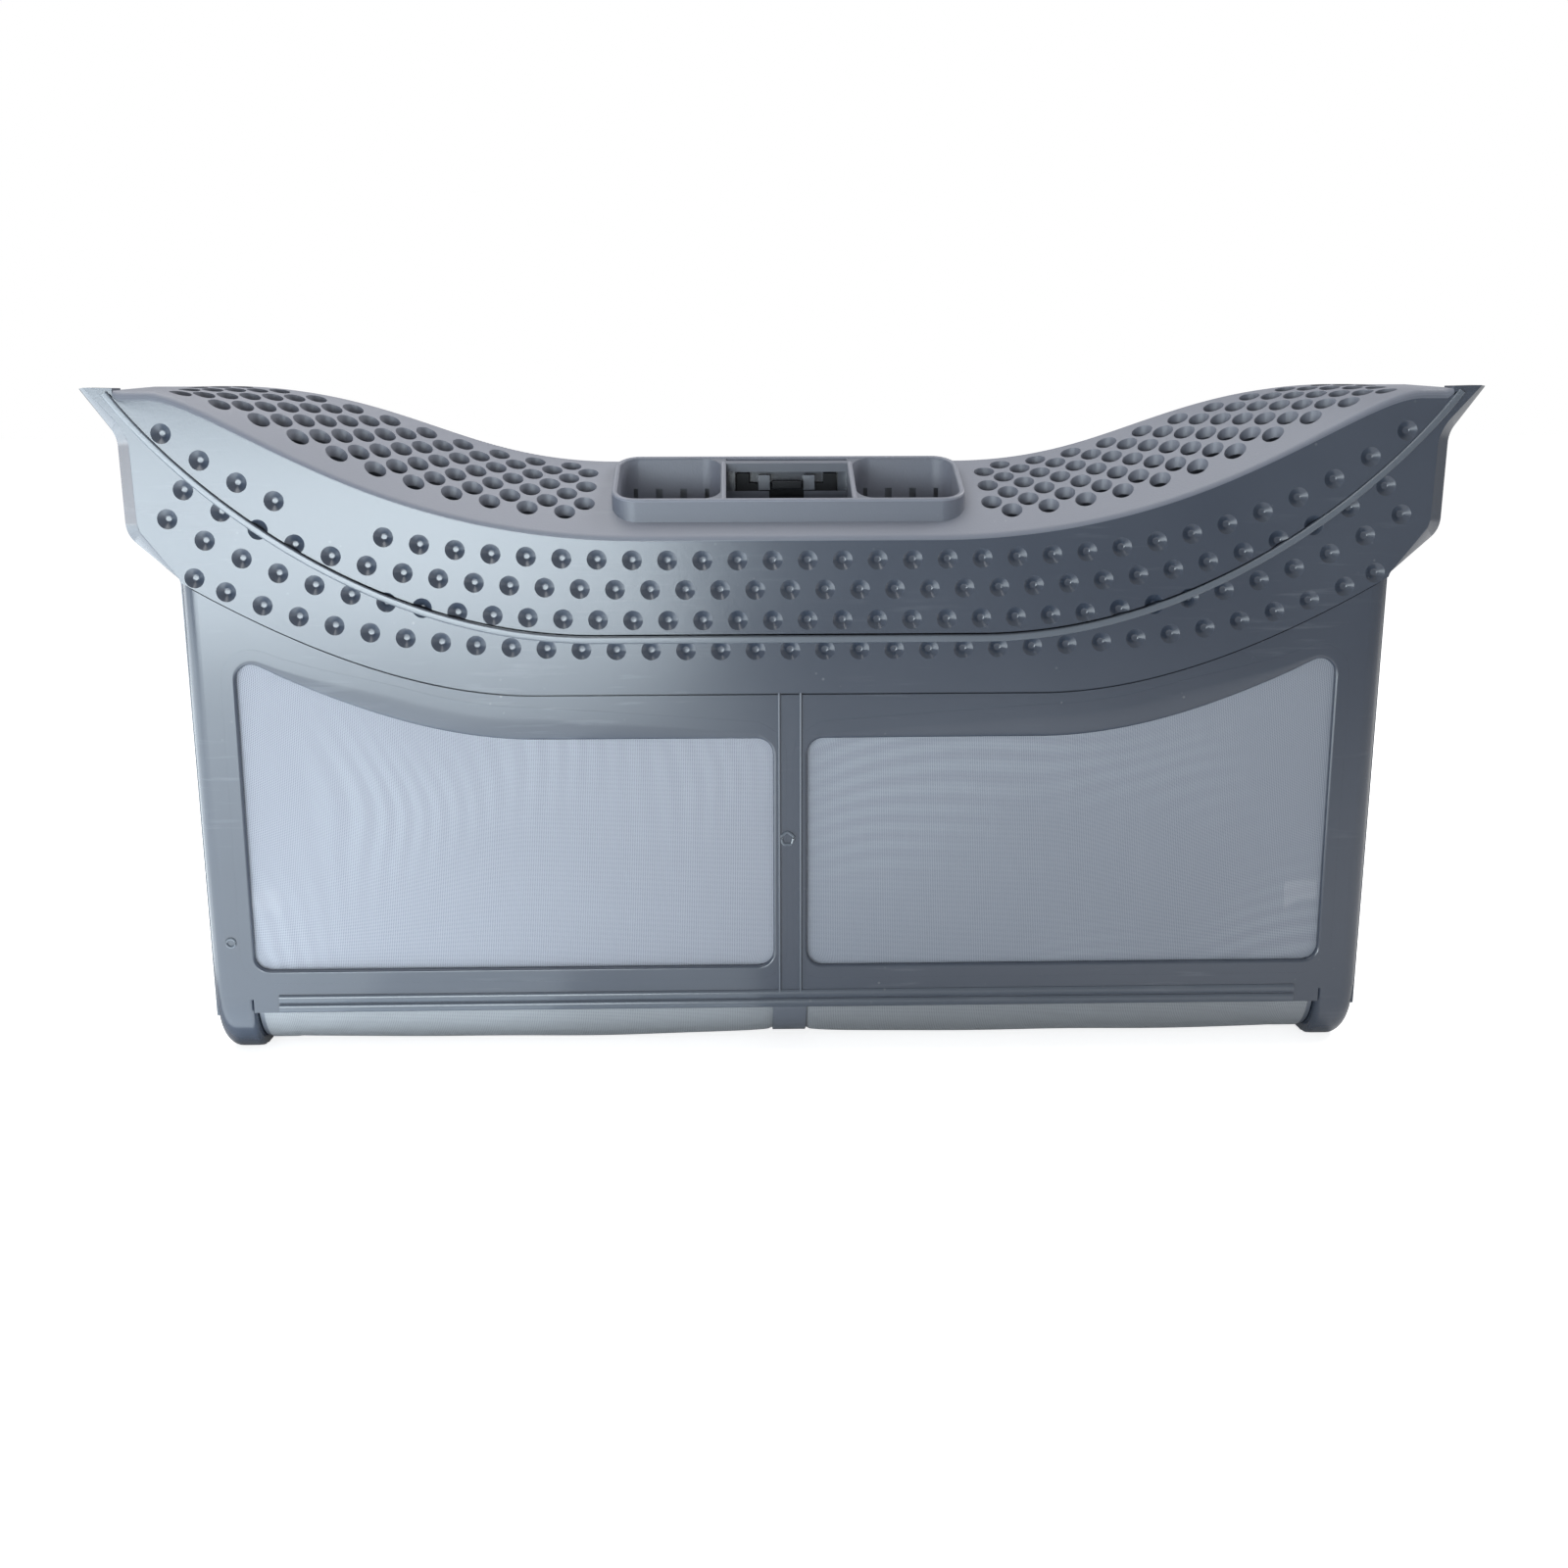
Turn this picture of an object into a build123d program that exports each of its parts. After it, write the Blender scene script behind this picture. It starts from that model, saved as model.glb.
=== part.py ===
from build123d import *
from math import degrees
import os

# Lint filter of a tumble dryer: a flat hinged case that stands on its two end lobes.
# X runs along the filter, Y runs from the front to the rear, Z is up from the feet.
# Sizes are millimetres. Widths are measured from the middle, as half widths.

os.makedirs("parts", exist_ok=True)

# Outline seen from the front
height = 216.0              # wing tips above the feet
waist_x = 188.3             # case side just below the ears
waist_z = 156.5
side_draft = 1.4            # the case is this much narrower at the feet
ear_reach = 15.7            # ears stand out from the waist
ear_corner_z = 171.0
ear_lean = 0.5              # ears are this much narrower at their lower corner
ear_radius = 8.0
waist_radius = 3.0
shoulder_drop = 15.5        # flared tip, from the tip down to the ear's shoulder
tip_flare = 11.5            # flared tip, beyond the ear's side
tip_strip = 8.5             # tip beyond the end of the seam

# Seam between the front panel and the cover
seam_z = 139.0
seam_flat = 60.0
seam_pull_low = 70.0
seam_pull_high = (22.0, 31.0)
seam_gap = 0.3
bead_width = 2.0
bead_proud = 0.8

# Dimpled band: its lower edge, and how far it stands out from the window frame
band_z = 120.7
band_flat = 80.0
band_pull_low = 40.0
band_pull_high = (30.0, 18.0)
band_end = (1.7, 1.5)       # where its lower edge leaves the case, beyond the waist
band_proud = 2.0

# Crown of the cover: front crease, middle and rear edge
crease_z = 169.5
crease_flat = 45.0
crease_pull = (90.0, 20.0)
crease_inset = 12.0
crease_fall = 2.0
middle_z = 182.8
middle_flat = 50.0
middle_pull = (72.0, 40.0)
middle_inset = 18.0
middle_fall = 1.5
rear_edge_z = 191.0
rear_edge_flat = 55.0
rear_edge_pull = (52.0, 58.0)
rear_edge_inset = 27.0
rear_edge_fall = 1.0
cover_wall = 2.2
lip_wall = 2.5
rear_lip = 4.0

# Section from the front to the rear, measured from the hinge axis
front_face = 23.0           # front of the window frame
rear_face = 19.5            # rear of the rear panel, also the radius of the bottom roll
rim_overhang = 2.0          # cover's rear rim beyond the rear panel
panel_wall = 2.5
side_wall = 2.0
roll_wall = 2.2
roll_lift = 1.0             # roll above the surface that the feet stand on
roll_lip = 3.0              # the roll's front edge above the hinge axis
closing_gap = 0.3           # rear panel to the side walls
rear_lip_gap = 0.5          # rear panel to the cover's rear lip

# Windows, filter cloth and the bars round them
window_side = 14.2
window_sill = 30.2
window_drop = 15.0
window_corner = 7.0
centre_bar = 5.4
bar_rib_x = 3.4
rib_width = 1.0
rib_proud = 0.7
sill_z = 16.0               # lower edge of the front panel between the lobes
sill_rib_z = (16.9, 22.6)
cloth = 0.8
cloth_seat = 2.0
cloth_fit = 0.1
cloth_corner = 4.0          # three corners of each cloth are cut straight

# End lobes, hinge and roll
lobe_radius = 23.0
lobe_width = 12.4
lobe_corner = 6.0
pin_radius = 4.0
pin_length = 5.0
pin_fit = 0.05
eye_wall = 3.2
hinge_side_gap = 0.3
swing_gap = 2.5             # rear panel's wide part to the lobes
roll_end = 8.0
roll_tab = 5.5
roll_mesh_front = 10.0      # degrees below the axis where the roll's cloth starts
roll_mesh_rear = 25.0       # degrees below the axis where it ends

# Perforations and dimples, each drawn with few sides because there are so many
hole_radius = 3.3
hole_pitch = 11.6
hole_rows = 7
hole_row_step = 4.75
hole_front = 10.0
hole_reach_front = 20.0
hole_reach_rear = 15.0
hole_tub_margin = 8.7
dimple_radius = 3.3
dimple_depth = 1.2
dimple_pitch = 10.85
dimple_row_z = (162.4, 153.3, 143.8, 134.4)
dimple_row_lift = (39.0, 35.0, 32.0, 27.0)
dimple_lift_x = 190.0
dimple_lift_power = 3.9
dimple_reach = 191.0
sides = 6

# Handle tub in the cover
tub_x = 55.5
tub_front = 18.6
tub_rear = 16.5
tub_wall = 1.6
tub_corner = 8.0
tub_floor = 159.0
rim_front_z = 180.3
rim_rear_z = 192.2
partition_x = 20.5
drain_count = 4
drain_pitch = 8.0
drain_width = 1.8
drain_z = (177.5, 182.0)

# Latch, its channel behind the centre compartment, and the prongs that it holds
channel_wall = 1.6
channel_depth = 3.1
channel_back = 0.9
channel_x = 16.8
channel_lip = 2.3
channel_floor = 170.7
channel_shelf = 1.7
bridge = (187.5, 191.0)
latch_window_x = 16.0
latch_window_sill = 177.5
latch_fit = 0.3
latch_base = 174.0
latch_top = 184.0
horn_inner = 12.0
pad_x = 4.8
pad_reach = 6.5
pad_z = (182.2, 184.6)
prong_x = 7.3
prong_half = 1.9
prong_wall = 2.2
barb_depth = 1.7
barb_drop = 2.6

# Places worked out from the sizes above
front_reach = front_face + band_proud + bead_proud
rear_reach = max(lobe_radius, rear_face + rim_overhang)
hinge_y = (front_reach - rear_reach) / 2
hinge_z = rear_face + roll_lift
frame_face = hinge_y - front_face
frame_back = frame_face + panel_wall
band_face = frame_face - band_proud
rear_out = hinge_y + rear_face
rear_in = rear_out - panel_wall
wall_end = rear_in - closing_gap
crown_front = band_face
crown_rear = rear_out + rim_overhang
foot_x = waist_x - side_draft
ear_x = waist_x + ear_reach
tip_x = ear_x + tip_flare
seam_tip = tip_x - tip_strip
lobe_inner = foot_x - lobe_width
eye_x = lobe_inner - hinge_side_gap
window_x = foot_x - window_side + side_draft / 2
roll_window_x = eye_x - roll_end
tub_y0 = hinge_y - tub_front
tub_y1 = hinge_y + tub_rear
channel_y1 = tub_y1 - channel_back
channel_y0 = channel_y1 - channel_depth
latch_wall_y = channel_y0 - channel_wall
crown_middle = (crown_front + crown_rear) / 2
below_feet = -10.0
rear_top_drop = rear_lip + rear_lip_gap
prong_z = rear_edge_z - rear_top_drop
wide_z = hinge_z + lobe_radius + swing_gap


def upright(y):
    """Plane facing the front at depth y, with X to the right and Z up in it."""
    return Plane(origin=(0, y, 0), x_dir=(1, 0, 0), z_dir=(0, -1, 0))


def s_curve(trough, flat, pull, inset, fall, drop=0.0):
    """Edge of the crown, tip to tip: level wings, a smooth fall and a flat trough."""
    wing = height - fall - drop
    trough = trough - drop
    knee = seam_tip - inset
    low = (flat + pull[0], trough)
    high = (knee - pull[1], wing)
    Line((-seam_tip, wing), (-knee, wing))
    Bezier((-knee, wing), (-high[0], wing), (-low[0], trough), (-flat, trough))
    Line((-flat, trough), (flat, trough))
    Bezier((flat, trough), low, high, (knee, wing))
    Line((knee, wing), (seam_tip, wing))


def sweep_up(trough, flat, pull_low, pull_high, end):
    """Flat trough that bends up to one end point on each side."""
    low = (flat + pull_low, trough)
    high = (end[0] - pull_high[0], end[1] - pull_high[1])
    Bezier((-end[0], end[1]), (-high[0], high[1]), (-low[0], trough), (-flat, trough))
    Line((-flat, trough), (flat, trough))
    Bezier((flat, trough), low, high, end)


def seam_curve(drop=0.0):
    """Seam line from tip to tip, lowered by a distance."""
    end = (seam_tip, height - drop)
    sweep_up(seam_z - drop, seam_flat, seam_pull_low, seam_pull_high, end)


def band_curve(drop=0.0):
    """Lower edge of the dimpled band, lowered by a distance."""
    end = (waist_x + band_end[0], waist_z + band_end[1] - drop)
    sweep_up(band_z - drop, band_flat, band_pull_low, band_pull_high, end)


def closed(curve, level):
    """Edges of a tip-to-tip curve, closed by straight sides to a level line."""
    with BuildLine() as line:
        curve()
        left = line.vertices().sort_by(Axis.X)[0]
        right = line.vertices().sort_by(Axis.X)[-1]
        Polyline((left.X, left.Y), (left.X, level), (right.X, level), (right.X, right.Y))
    return line.edges()


def case_outline(top, bottom, flare):
    """Case from a bottom level up to its tips, with or without the flared tips."""
    side = waist_x - side_draft * (waist_z - bottom) / waist_z
    half = [(side, bottom), (waist_x, waist_z), (ear_x - ear_lean, ear_corner_z)]
    if flare:
        half += [(ear_x, height - shoulder_drop), (tip_x, height)]
    else:
        half += [(ear_x, top)]
    with BuildLine() as line:
        Polyline(*half, *[(-x, z) for x, z in reversed(half)], close=True)
    make_face(line.edges())
    corners = vertices().filter_by(lambda v: abs(v.Y - ear_corner_z) < 0.01)
    fillet(corners, ear_radius)
    waists = vertices().filter_by(lambda v: abs(v.Y - waist_z) < 0.01)
    fillet(waists, waist_radius)


def window(outer, grow=0.0):
    """Right-hand window, or the cloth's seat round it: the top follows the dimpled band."""
    make_face(closed(lambda: band_curve(window_drop - grow), below_feet))
    span = outer - centre_bar + 2 * grow
    with Locations(((outer + centre_bar) / 2, window_sill - grow + height / 2)):
        Rectangle(span, height, mode=Mode.INTERSECT)
    smooth = vertices().filter_by(lambda v: abs(v.X - band_flat) < 0.01)
    corners = (vertices() - smooth).sort_by(Axis.Y)
    if grow > 0:
        chamfer(corners[:-1], cloth_corner)
        fillet(vertices().sort_by(Axis.Y)[-1], window_corner + grow)
    else:
        fillet(corners, window_corner)


def crease_curve(drop=0.0):
    """Front edge of the crown, lowered by a distance."""
    s_curve(crease_z, crease_flat, crease_pull, crease_inset, crease_fall, drop)


def middle_curve(drop=0.0):
    """Crown halfway between the front and the rear, lowered by a distance."""
    s_curve(middle_z, middle_flat, middle_pull, middle_inset, middle_fall, drop)


def rear_curve(drop=0.0):
    """Rear edge of the crown, lowered by a distance."""
    s_curve(rear_edge_z, rear_edge_flat, rear_edge_pull, rear_edge_inset, rear_edge_fall, drop)


def block(x, y, z, mode=Mode.ADD):
    """Box between two limits along each axis, mirrored sizes given as (-a, a)."""
    centre = ((x[0] + x[1]) / 2, (y[0] + y[1]) / 2, (z[0] + z[1]) / 2)
    with Locations(centre):
        Box(x[1] - x[0], y[1] - y[0], z[1] - z[0], mode=mode)


def roll_sector(outer, inner, fit=0.0):
    """Ring sector of the bottom roll from its front edge under to its rear edge."""
    shrink = degrees(fit / inner)
    first = 180 + roll_mesh_front + shrink
    arc = 180 - roll_mesh_front - roll_mesh_rear - 2 * shrink
    with BuildLine() as line:
        near = CenterArc((hinge_y, hinge_z), outer, first, arc)
        far = CenterArc((hinge_y, hinge_z), inner, first, arc)
        Line(near @ 0, far @ 0)
        Line(near @ 1, far @ 1)
    make_face(line.edges())


def dimple_points():
    """Dimple centres: staggered rows that rise towards the wings."""
    points = []
    for row, level in enumerate(dimple_row_z):
        start = dimple_pitch / 2 * ((row + 1) % 2)
        count = int((dimple_reach - start) / dimple_pitch)
        for step in range(count + 1):
            x = start + step * dimple_pitch
            z = level + dimple_row_lift[row] * (x / dimple_lift_x) ** dimple_lift_power
            points.append((x, z))
            if x > 0:
                points.append((-x, z))
    return points


def hole_points():
    """Perforation centres: staggered rows on each side of the handle tub."""
    points = []
    for row in range(hole_rows):
        y = crown_front + hole_front + row * hole_row_step
        share = row / (hole_rows - 1)
        inset = hole_reach_front + (hole_reach_rear - hole_reach_front) * share
        x = tub_x + hole_tub_margin + hole_pitch / 2 * ((row + 1) % 2)
        while x < seam_tip - inset:
            points += [(x, y), (-x, y)]
            x += hole_pitch
    return points


# One dimple: a shallow pointed dent, cut into the band's face
with BuildPart() as dimple:
    with BuildSketch(upright(band_face)) as mouth:
        RegularPolygon(dimple_radius, sides)
    loft([mouth.sketch.face(), Vertex(0, band_face + dimple_depth, 0)])

# Front panel: frame plate with side walls, raised band, seam bead, bars and lobes
with BuildPart() as front_panel:
    with BuildSketch(upright(frame_back)):
        case_outline(height, sill_z, True)
    extrude(amount=panel_wall)
    with BuildSketch(upright(frame_face)):
        case_outline(height, sill_z, True)
        make_face(closed(lambda: band_curve(), below_feet), mode=Mode.SUBTRACT)
    extrude(amount=band_proud)
    with BuildSketch(upright(wall_end)):
        case_outline(height, hinge_z, False)
        offset(amount=-side_wall, mode=Mode.SUBTRACT)
        with Locations((0, hinge_z)):
            Rectangle(2 * (foot_x - side_wall), 4 * side_wall, mode=Mode.SUBTRACT)
    extrude(amount=wall_end - frame_back)
    with BuildSketch(upright(wall_end)):
        make_face(closed(lambda: seam_curve(), 2 * height))
    extrude(amount=wall_end - band_face, mode=Mode.SUBTRACT)
    with BuildSketch(upright(band_face)):
        make_face(closed(lambda: seam_curve(), below_feet))
        make_face(closed(lambda: seam_curve(bead_width), below_feet), mode=Mode.SUBTRACT)
    extrude(amount=bead_proud)
    with BuildSketch(upright(frame_face)):
        bar = band_z - sill_rib_z[1]
        with Locations((-bar_rib_x, sill_rib_z[1] + bar / 2), (bar_rib_x, sill_rib_z[1] + bar / 2)):
            Rectangle(rib_width, bar)
        with Locations((0, sill_rib_z[0]), (0, sill_rib_z[1])):
            Rectangle(2 * roll_window_x, rib_width)
    extrude(amount=rib_proud)
    with BuildSketch(upright(frame_back)):
        window(window_x)
        mirror(about=Plane.YZ)
    extrude(amount=panel_wall, mode=Mode.SUBTRACT)
    with BuildSketch(upright(frame_back)):
        window(window_x, cloth_seat)
        mirror(about=Plane.YZ)
    extrude(amount=cloth, mode=Mode.SUBTRACT)
    with BuildSketch(Plane.YZ.offset(lobe_inner)):
        with Locations((hinge_y, hinge_z)):
            Circle(lobe_radius)
        with Locations((hinge_y, lobe_radius)):
            Rectangle(4 * lobe_radius, 2 * lobe_radius, mode=Mode.INTERSECT)
    extrude(amount=lobe_width)
    with BuildSketch(Plane.YZ.offset(lobe_inner - pin_length)):
        with Locations((hinge_y, hinge_z)):
            Circle(pin_radius)
    extrude(amount=pin_length)
    mirror(about=Plane.YZ)
    with BuildSketch(upright(wall_end + lobe_radius)):
        with Locations((foot_x - lobe_corner / 2, lobe_corner / 2)):
            Rectangle(lobe_corner, lobe_corner)
        with Locations((foot_x - lobe_corner, lobe_corner)):
            Circle(lobe_corner, mode=Mode.SUBTRACT)
        mirror(about=Plane.YZ)
    extrude(amount=4 * lobe_radius, mode=Mode.SUBTRACT)
    with Locations(*[(x, 0, z) for x, z in dimple_points()]):
        add(dimple.part, mode=Mode.SUBTRACT, clean=False)

# Handle tub: two finger pockets, the latch compartment and the latch's channel
with BuildPart() as tub:
    with BuildSketch(Plane.XY.offset(tub_floor - tub_wall)):
        with Locations((0, (tub_y0 + tub_y1) / 2)):
            RectangleRounded(2 * tub_x, tub_y1 - tub_y0, tub_corner)
    extrude(amount=rim_rear_z - tub_floor + 2 * tub_wall)
    pocket_x = (partition_x + tub_wall / 2, tub_x - tub_wall)
    pocket_y = (tub_y0 + tub_wall, tub_y1 - tub_wall)
    with BuildSketch(Plane.XY.offset(tub_floor)):
        with Locations(((pocket_x[0] + pocket_x[1]) / 2, (pocket_y[0] + pocket_y[1]) / 2)):
            pocket_size = (pocket_x[1] - pocket_x[0], pocket_y[1] - pocket_y[0])
            RectangleRounded(*pocket_size, tub_corner - tub_wall)
        mirror(about=Plane.YZ)
        with Locations((0, (pocket_y[0] + latch_wall_y) / 2)):
            Rectangle(2 * partition_x - tub_wall, latch_wall_y - pocket_y[0])
    extrude(amount=height, mode=Mode.SUBTRACT)
    with BuildSketch(Plane.YZ.offset(-2 * tub_x)):
        with BuildLine():
            Polyline(
                (tub_y0, rim_front_z),
                (tub_y1, rim_rear_z),
                (tub_y1, height),
                (tub_y0, height),
                close=True,
            )
        make_face()
    extrude(amount=4 * tub_x, mode=Mode.SUBTRACT)
    centre = (-partition_x + tub_wall / 2, partition_x - tub_wall / 2)
    block(centre, (latch_wall_y, tub_y1), (bridge[1], height), Mode.SUBTRACT)
    open_z = (latch_window_sill, bridge[0])
    block((-latch_window_x, latch_window_x), (latch_wall_y, channel_y0), open_z, Mode.SUBTRACT)
    slide_z = (channel_floor, bridge[0])
    block((-channel_x, channel_x), (channel_y0, channel_y1), slide_z, Mode.SUBTRACT)
    throat = channel_x - channel_lip
    block((-throat, throat), (channel_y1, tub_y1), slide_z, Mode.SUBTRACT)
    under = (tub_floor - tub_wall, channel_floor - channel_shelf)
    block(centre, (channel_y0, tub_y1), under, Mode.SUBTRACT)
    first = (pocket_x[0] + pocket_x[1] - (drain_count - 1) * drain_pitch) / 2
    for number in range(drain_count):
        x = first + number * drain_pitch
        for side in (-1, 1):
            slot = (side * x - drain_width / 2, side * x + drain_width / 2)
            block(slot, (pocket_y[1], tub_y1), drain_z, Mode.SUBTRACT)

# Space under the crown, inside the cover's front and rear lips
with BuildPart() as crown_hollow:
    with BuildSketch(upright(crown_front)):
        make_face(closed(lambda: crease_curve(cover_wall), below_feet))
    with BuildSketch(upright(crown_middle)):
        make_face(closed(lambda: middle_curve(cover_wall), below_feet))
    with BuildSketch(upright(crown_rear)):
        make_face(closed(lambda: rear_curve(cover_wall), below_feet))
    loft()
    inside = (crown_front + lip_wall, crown_rear - lip_wall)
    block((-tip_x, tip_x), inside, (below_feet, height), Mode.INTERSECT)

# Cover: perforated crown, dimpled front lip, rear lip and the handle tub
with BuildPart() as top_cover:
    with BuildSketch(upright(crown_front)):
        make_face(closed(lambda: crease_curve(), below_feet))
    with BuildSketch(upright(crown_middle)):
        make_face(closed(lambda: middle_curve(), below_feet))
    with BuildSketch(upright(crown_rear)):
        make_face(closed(lambda: rear_curve(), below_feet))
    loft()
    add(crown_hollow.part, mode=Mode.SUBTRACT)
    with BuildSketch(upright(crown_rear)):
        make_face(closed(lambda: seam_curve(-seam_gap), below_feet))
    extrude(amount=crown_rear - crown_front, mode=Mode.SUBTRACT)
    with BuildSketch(upright(crown_rear)):
        make_face(closed(lambda: rear_curve(rear_lip), below_feet))
    extrude(amount=lip_wall, mode=Mode.SUBTRACT)
    with BuildSketch(Plane.XY.offset(tub_floor)):
        with Locations((0, (tub_y0 + tub_y1) / 2)):
            RectangleRounded(2 * tub_x, tub_y1 - tub_y0, tub_corner)
    extrude(amount=height, mode=Mode.SUBTRACT)
    add(tub.part)
    with BuildSketch(Plane.XY.offset(crease_z - cover_wall)):
        with Locations(*hole_points()):
            RegularPolygon(hole_radius, sides)
    extrude(amount=height, clean=False, mode=Mode.SUBTRACT)
    with Locations(*[(x, 0, z) for x, z in dimple_points()]):
        add(dimple.part, mode=Mode.SUBTRACT, clean=False)

# Rear panel: window frame, bottom roll with the hinge eyes, and the catch prongs
with BuildPart() as rear_panel:
    with BuildSketch(upright(rear_out)):
        case_outline(height, wide_z, False)
        with Locations((0, (hinge_z + wide_z + panel_wall) / 2)):
            Rectangle(2 * eye_x, wide_z + panel_wall - hinge_z)
        make_face(closed(lambda: rear_curve(rear_top_drop), 2 * height), mode=Mode.SUBTRACT)
    extrude(amount=panel_wall)
    with BuildSketch(Plane.YZ.offset(-eye_x)):
        with BuildLine():
            inner = rear_face - roll_wall
            under_arc = CenterArc((hinge_y, hinge_z), rear_face, 180, 180)
            over_arc = CenterArc((hinge_y, hinge_z), inner, 180, 180)
            Line(under_arc @ 1, over_arc @ 1)
            edge = hinge_z + roll_lip
            front_edge = [under_arc @ 0, (hinge_y - rear_face, edge), (hinge_y - inner, edge)]
            Polyline(*front_edge, over_arc @ 0)
        make_face()
    extrude(amount=2 * eye_x)
    with BuildSketch(Plane.YZ.offset(roll_tab)):
        roll_sector(rear_face + roll_wall, inner - roll_wall)
    extrude(amount=roll_window_x - roll_tab, mode=Mode.SUBTRACT)
    with BuildSketch(Plane.YZ.offset(-roll_window_x)):
        roll_sector(rear_face + roll_wall, inner - roll_wall)
    extrude(amount=roll_window_x - roll_tab, mode=Mode.SUBTRACT)
    with BuildSketch(Plane.YZ.offset(eye_x - eye_wall)):
        with Locations((hinge_y, hinge_z)):
            Circle(rear_face)
            Circle(pin_radius + pin_fit, mode=Mode.SUBTRACT)
    eyes = extrude(amount=eye_wall)
    mirror(eyes, about=Plane.YZ)
    with BuildSketch(upright(rear_out)):
        window(roll_window_x)
        mirror(about=Plane.YZ)
    extrude(amount=panel_wall, mode=Mode.SUBTRACT)
    with BuildSketch(upright(rear_in + cloth)):
        window(roll_window_x, cloth_seat)
        mirror(about=Plane.YZ)
    extrude(amount=cloth, mode=Mode.SUBTRACT)
    for side in (-1, 1):
        prong = (side * prong_x - prong_half, side * prong_x + prong_half)
        block(prong, (channel_y0 - barb_depth, rear_in), (prong_z - prong_wall, prong_z))
        barb = (prong_z - prong_wall - barb_drop, prong_z)
        block(prong, (channel_y0 - barb_depth, channel_y0), barb)

# Filter cloth of the front windows, set into the back of the frame
with BuildPart() as front_mesh_right:
    with BuildSketch(upright(frame_back)):
        window(window_x, cloth_seat - cloth_fit)
    extrude(amount=cloth)

with BuildPart() as front_mesh_left:
    mirror(front_mesh_right.part, about=Plane.YZ)

# Filter cloth of the rear windows, set into the inside of the rear panel
with BuildPart() as rear_mesh_right:
    with BuildSketch(upright(rear_in + cloth)):
        window(roll_window_x, cloth_seat - cloth_fit)
    extrude(amount=cloth)

with BuildPart() as rear_mesh_left:
    mirror(rear_mesh_right.part, about=Plane.YZ)

# Filter cloth of the bottom roll, bent round the hinge axis
with BuildPart() as bottom_mesh_right:
    with BuildSketch(Plane.YZ.offset(roll_tab + cloth_fit)):
        roll_sector(rear_face - cloth, rear_face - 2 * cloth, cloth_fit)
    extrude(amount=roll_window_x - roll_tab - 2 * cloth_fit)

with BuildPart() as bottom_mesh_left:
    mirror(bottom_mesh_right.part, about=Plane.YZ)

# Latch: dark slider with two horns, a hold-down bar and a finger pad
with BuildPart() as latch:
    latch_x = channel_x - latch_fit
    latch_y = (channel_y0 + latch_fit, channel_y1 - latch_fit)
    block((-latch_x, latch_x), latch_y, (latch_base, latch_top))
    horn_z = (latch_base, bridge[0] - latch_fit)
    block((horn_inner, latch_x), latch_y, horn_z)
    block((-latch_x, -horn_inner), latch_y, horn_z)
    block((-pad_x, pad_x), (latch_y[0] - pad_reach, latch_y[1]), pad_z)

nodes = {
    "front_panel": front_panel,
    "top_cover": top_cover,
    "front_mesh_left": front_mesh_left,
    "front_mesh_right": front_mesh_right,
    "rear_panel": rear_panel,
    "rear_mesh_left": rear_mesh_left,
    "rear_mesh_right": rear_mesh_right,
    "bottom_mesh_left": bottom_mesh_left,
    "bottom_mesh_right": bottom_mesh_right,
    "latch": latch,
}
for name, node in nodes.items():
    node.part.label = name
    export_step(node.part, f"parts/{name}.step")
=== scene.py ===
"""Looks of a tumble dryer lint filter: moulded case, perforated cover, tub and filter cloth."""

import logging
import math
from collections.abc import Callable, Sequence
from dataclasses import dataclass, field
from enum import Enum
from functools import cache

import bmesh
import bpy
from mathutils import Matrix, Vector


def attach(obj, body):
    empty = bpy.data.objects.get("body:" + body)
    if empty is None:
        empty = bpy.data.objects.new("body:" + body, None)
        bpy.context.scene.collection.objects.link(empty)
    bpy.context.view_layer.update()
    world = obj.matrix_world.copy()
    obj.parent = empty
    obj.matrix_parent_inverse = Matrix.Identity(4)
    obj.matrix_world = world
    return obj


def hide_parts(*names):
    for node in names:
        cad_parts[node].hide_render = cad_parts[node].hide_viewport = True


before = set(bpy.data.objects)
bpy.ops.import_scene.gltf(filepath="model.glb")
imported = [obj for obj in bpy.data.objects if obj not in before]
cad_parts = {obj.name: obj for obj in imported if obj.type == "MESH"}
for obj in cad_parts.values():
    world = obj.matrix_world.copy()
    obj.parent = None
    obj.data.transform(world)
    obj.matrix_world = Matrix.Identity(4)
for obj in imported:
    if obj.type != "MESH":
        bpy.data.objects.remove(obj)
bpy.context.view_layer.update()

LOG = logging.getLogger("lint_filter")
Point = tuple[float, float]
Colour = tuple[float, float, float]
MM = 0.001

# Points closer than this are taken as one, in metres
SLIVER = 0.00001

# Depth that the finest relief of a surface stands for, in metres
RELIEF = 0.0002

# How far cutting tools reach past the filter, in mm
TOOL_SIDES = (-260.0, 260.0)
TOOL_DEPTH = (-40.0, 40.0)
TOP_TOOL_DEPTH = (-60.0, 60.0)
TOOL_FOOT = -10.0
BAND_TOOL_FOOT = -20.0
TOOL_TOP = 260.0
TUB_TOOL_FOOT = 120.0
TUB_TOOL_TOP = 240.0
TUB_TOOL_BACK = 30.0


class Cut(Enum):
    """How one solid acts on another."""

    TAKE = "DIFFERENCE"
    KEEP = "INTERSECT"


class Side(Enum):
    """Left or right half of the filter, seen from the front."""

    LEFT = -1
    RIGHT = 1


class Tone(Enum):
    """Surfaces of one moulding that differ in gloss and in painted light and shade."""

    LIP = 0.0
    TUB = 0.4
    CROWN = 1.0
    HOLE = 2.0


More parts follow.
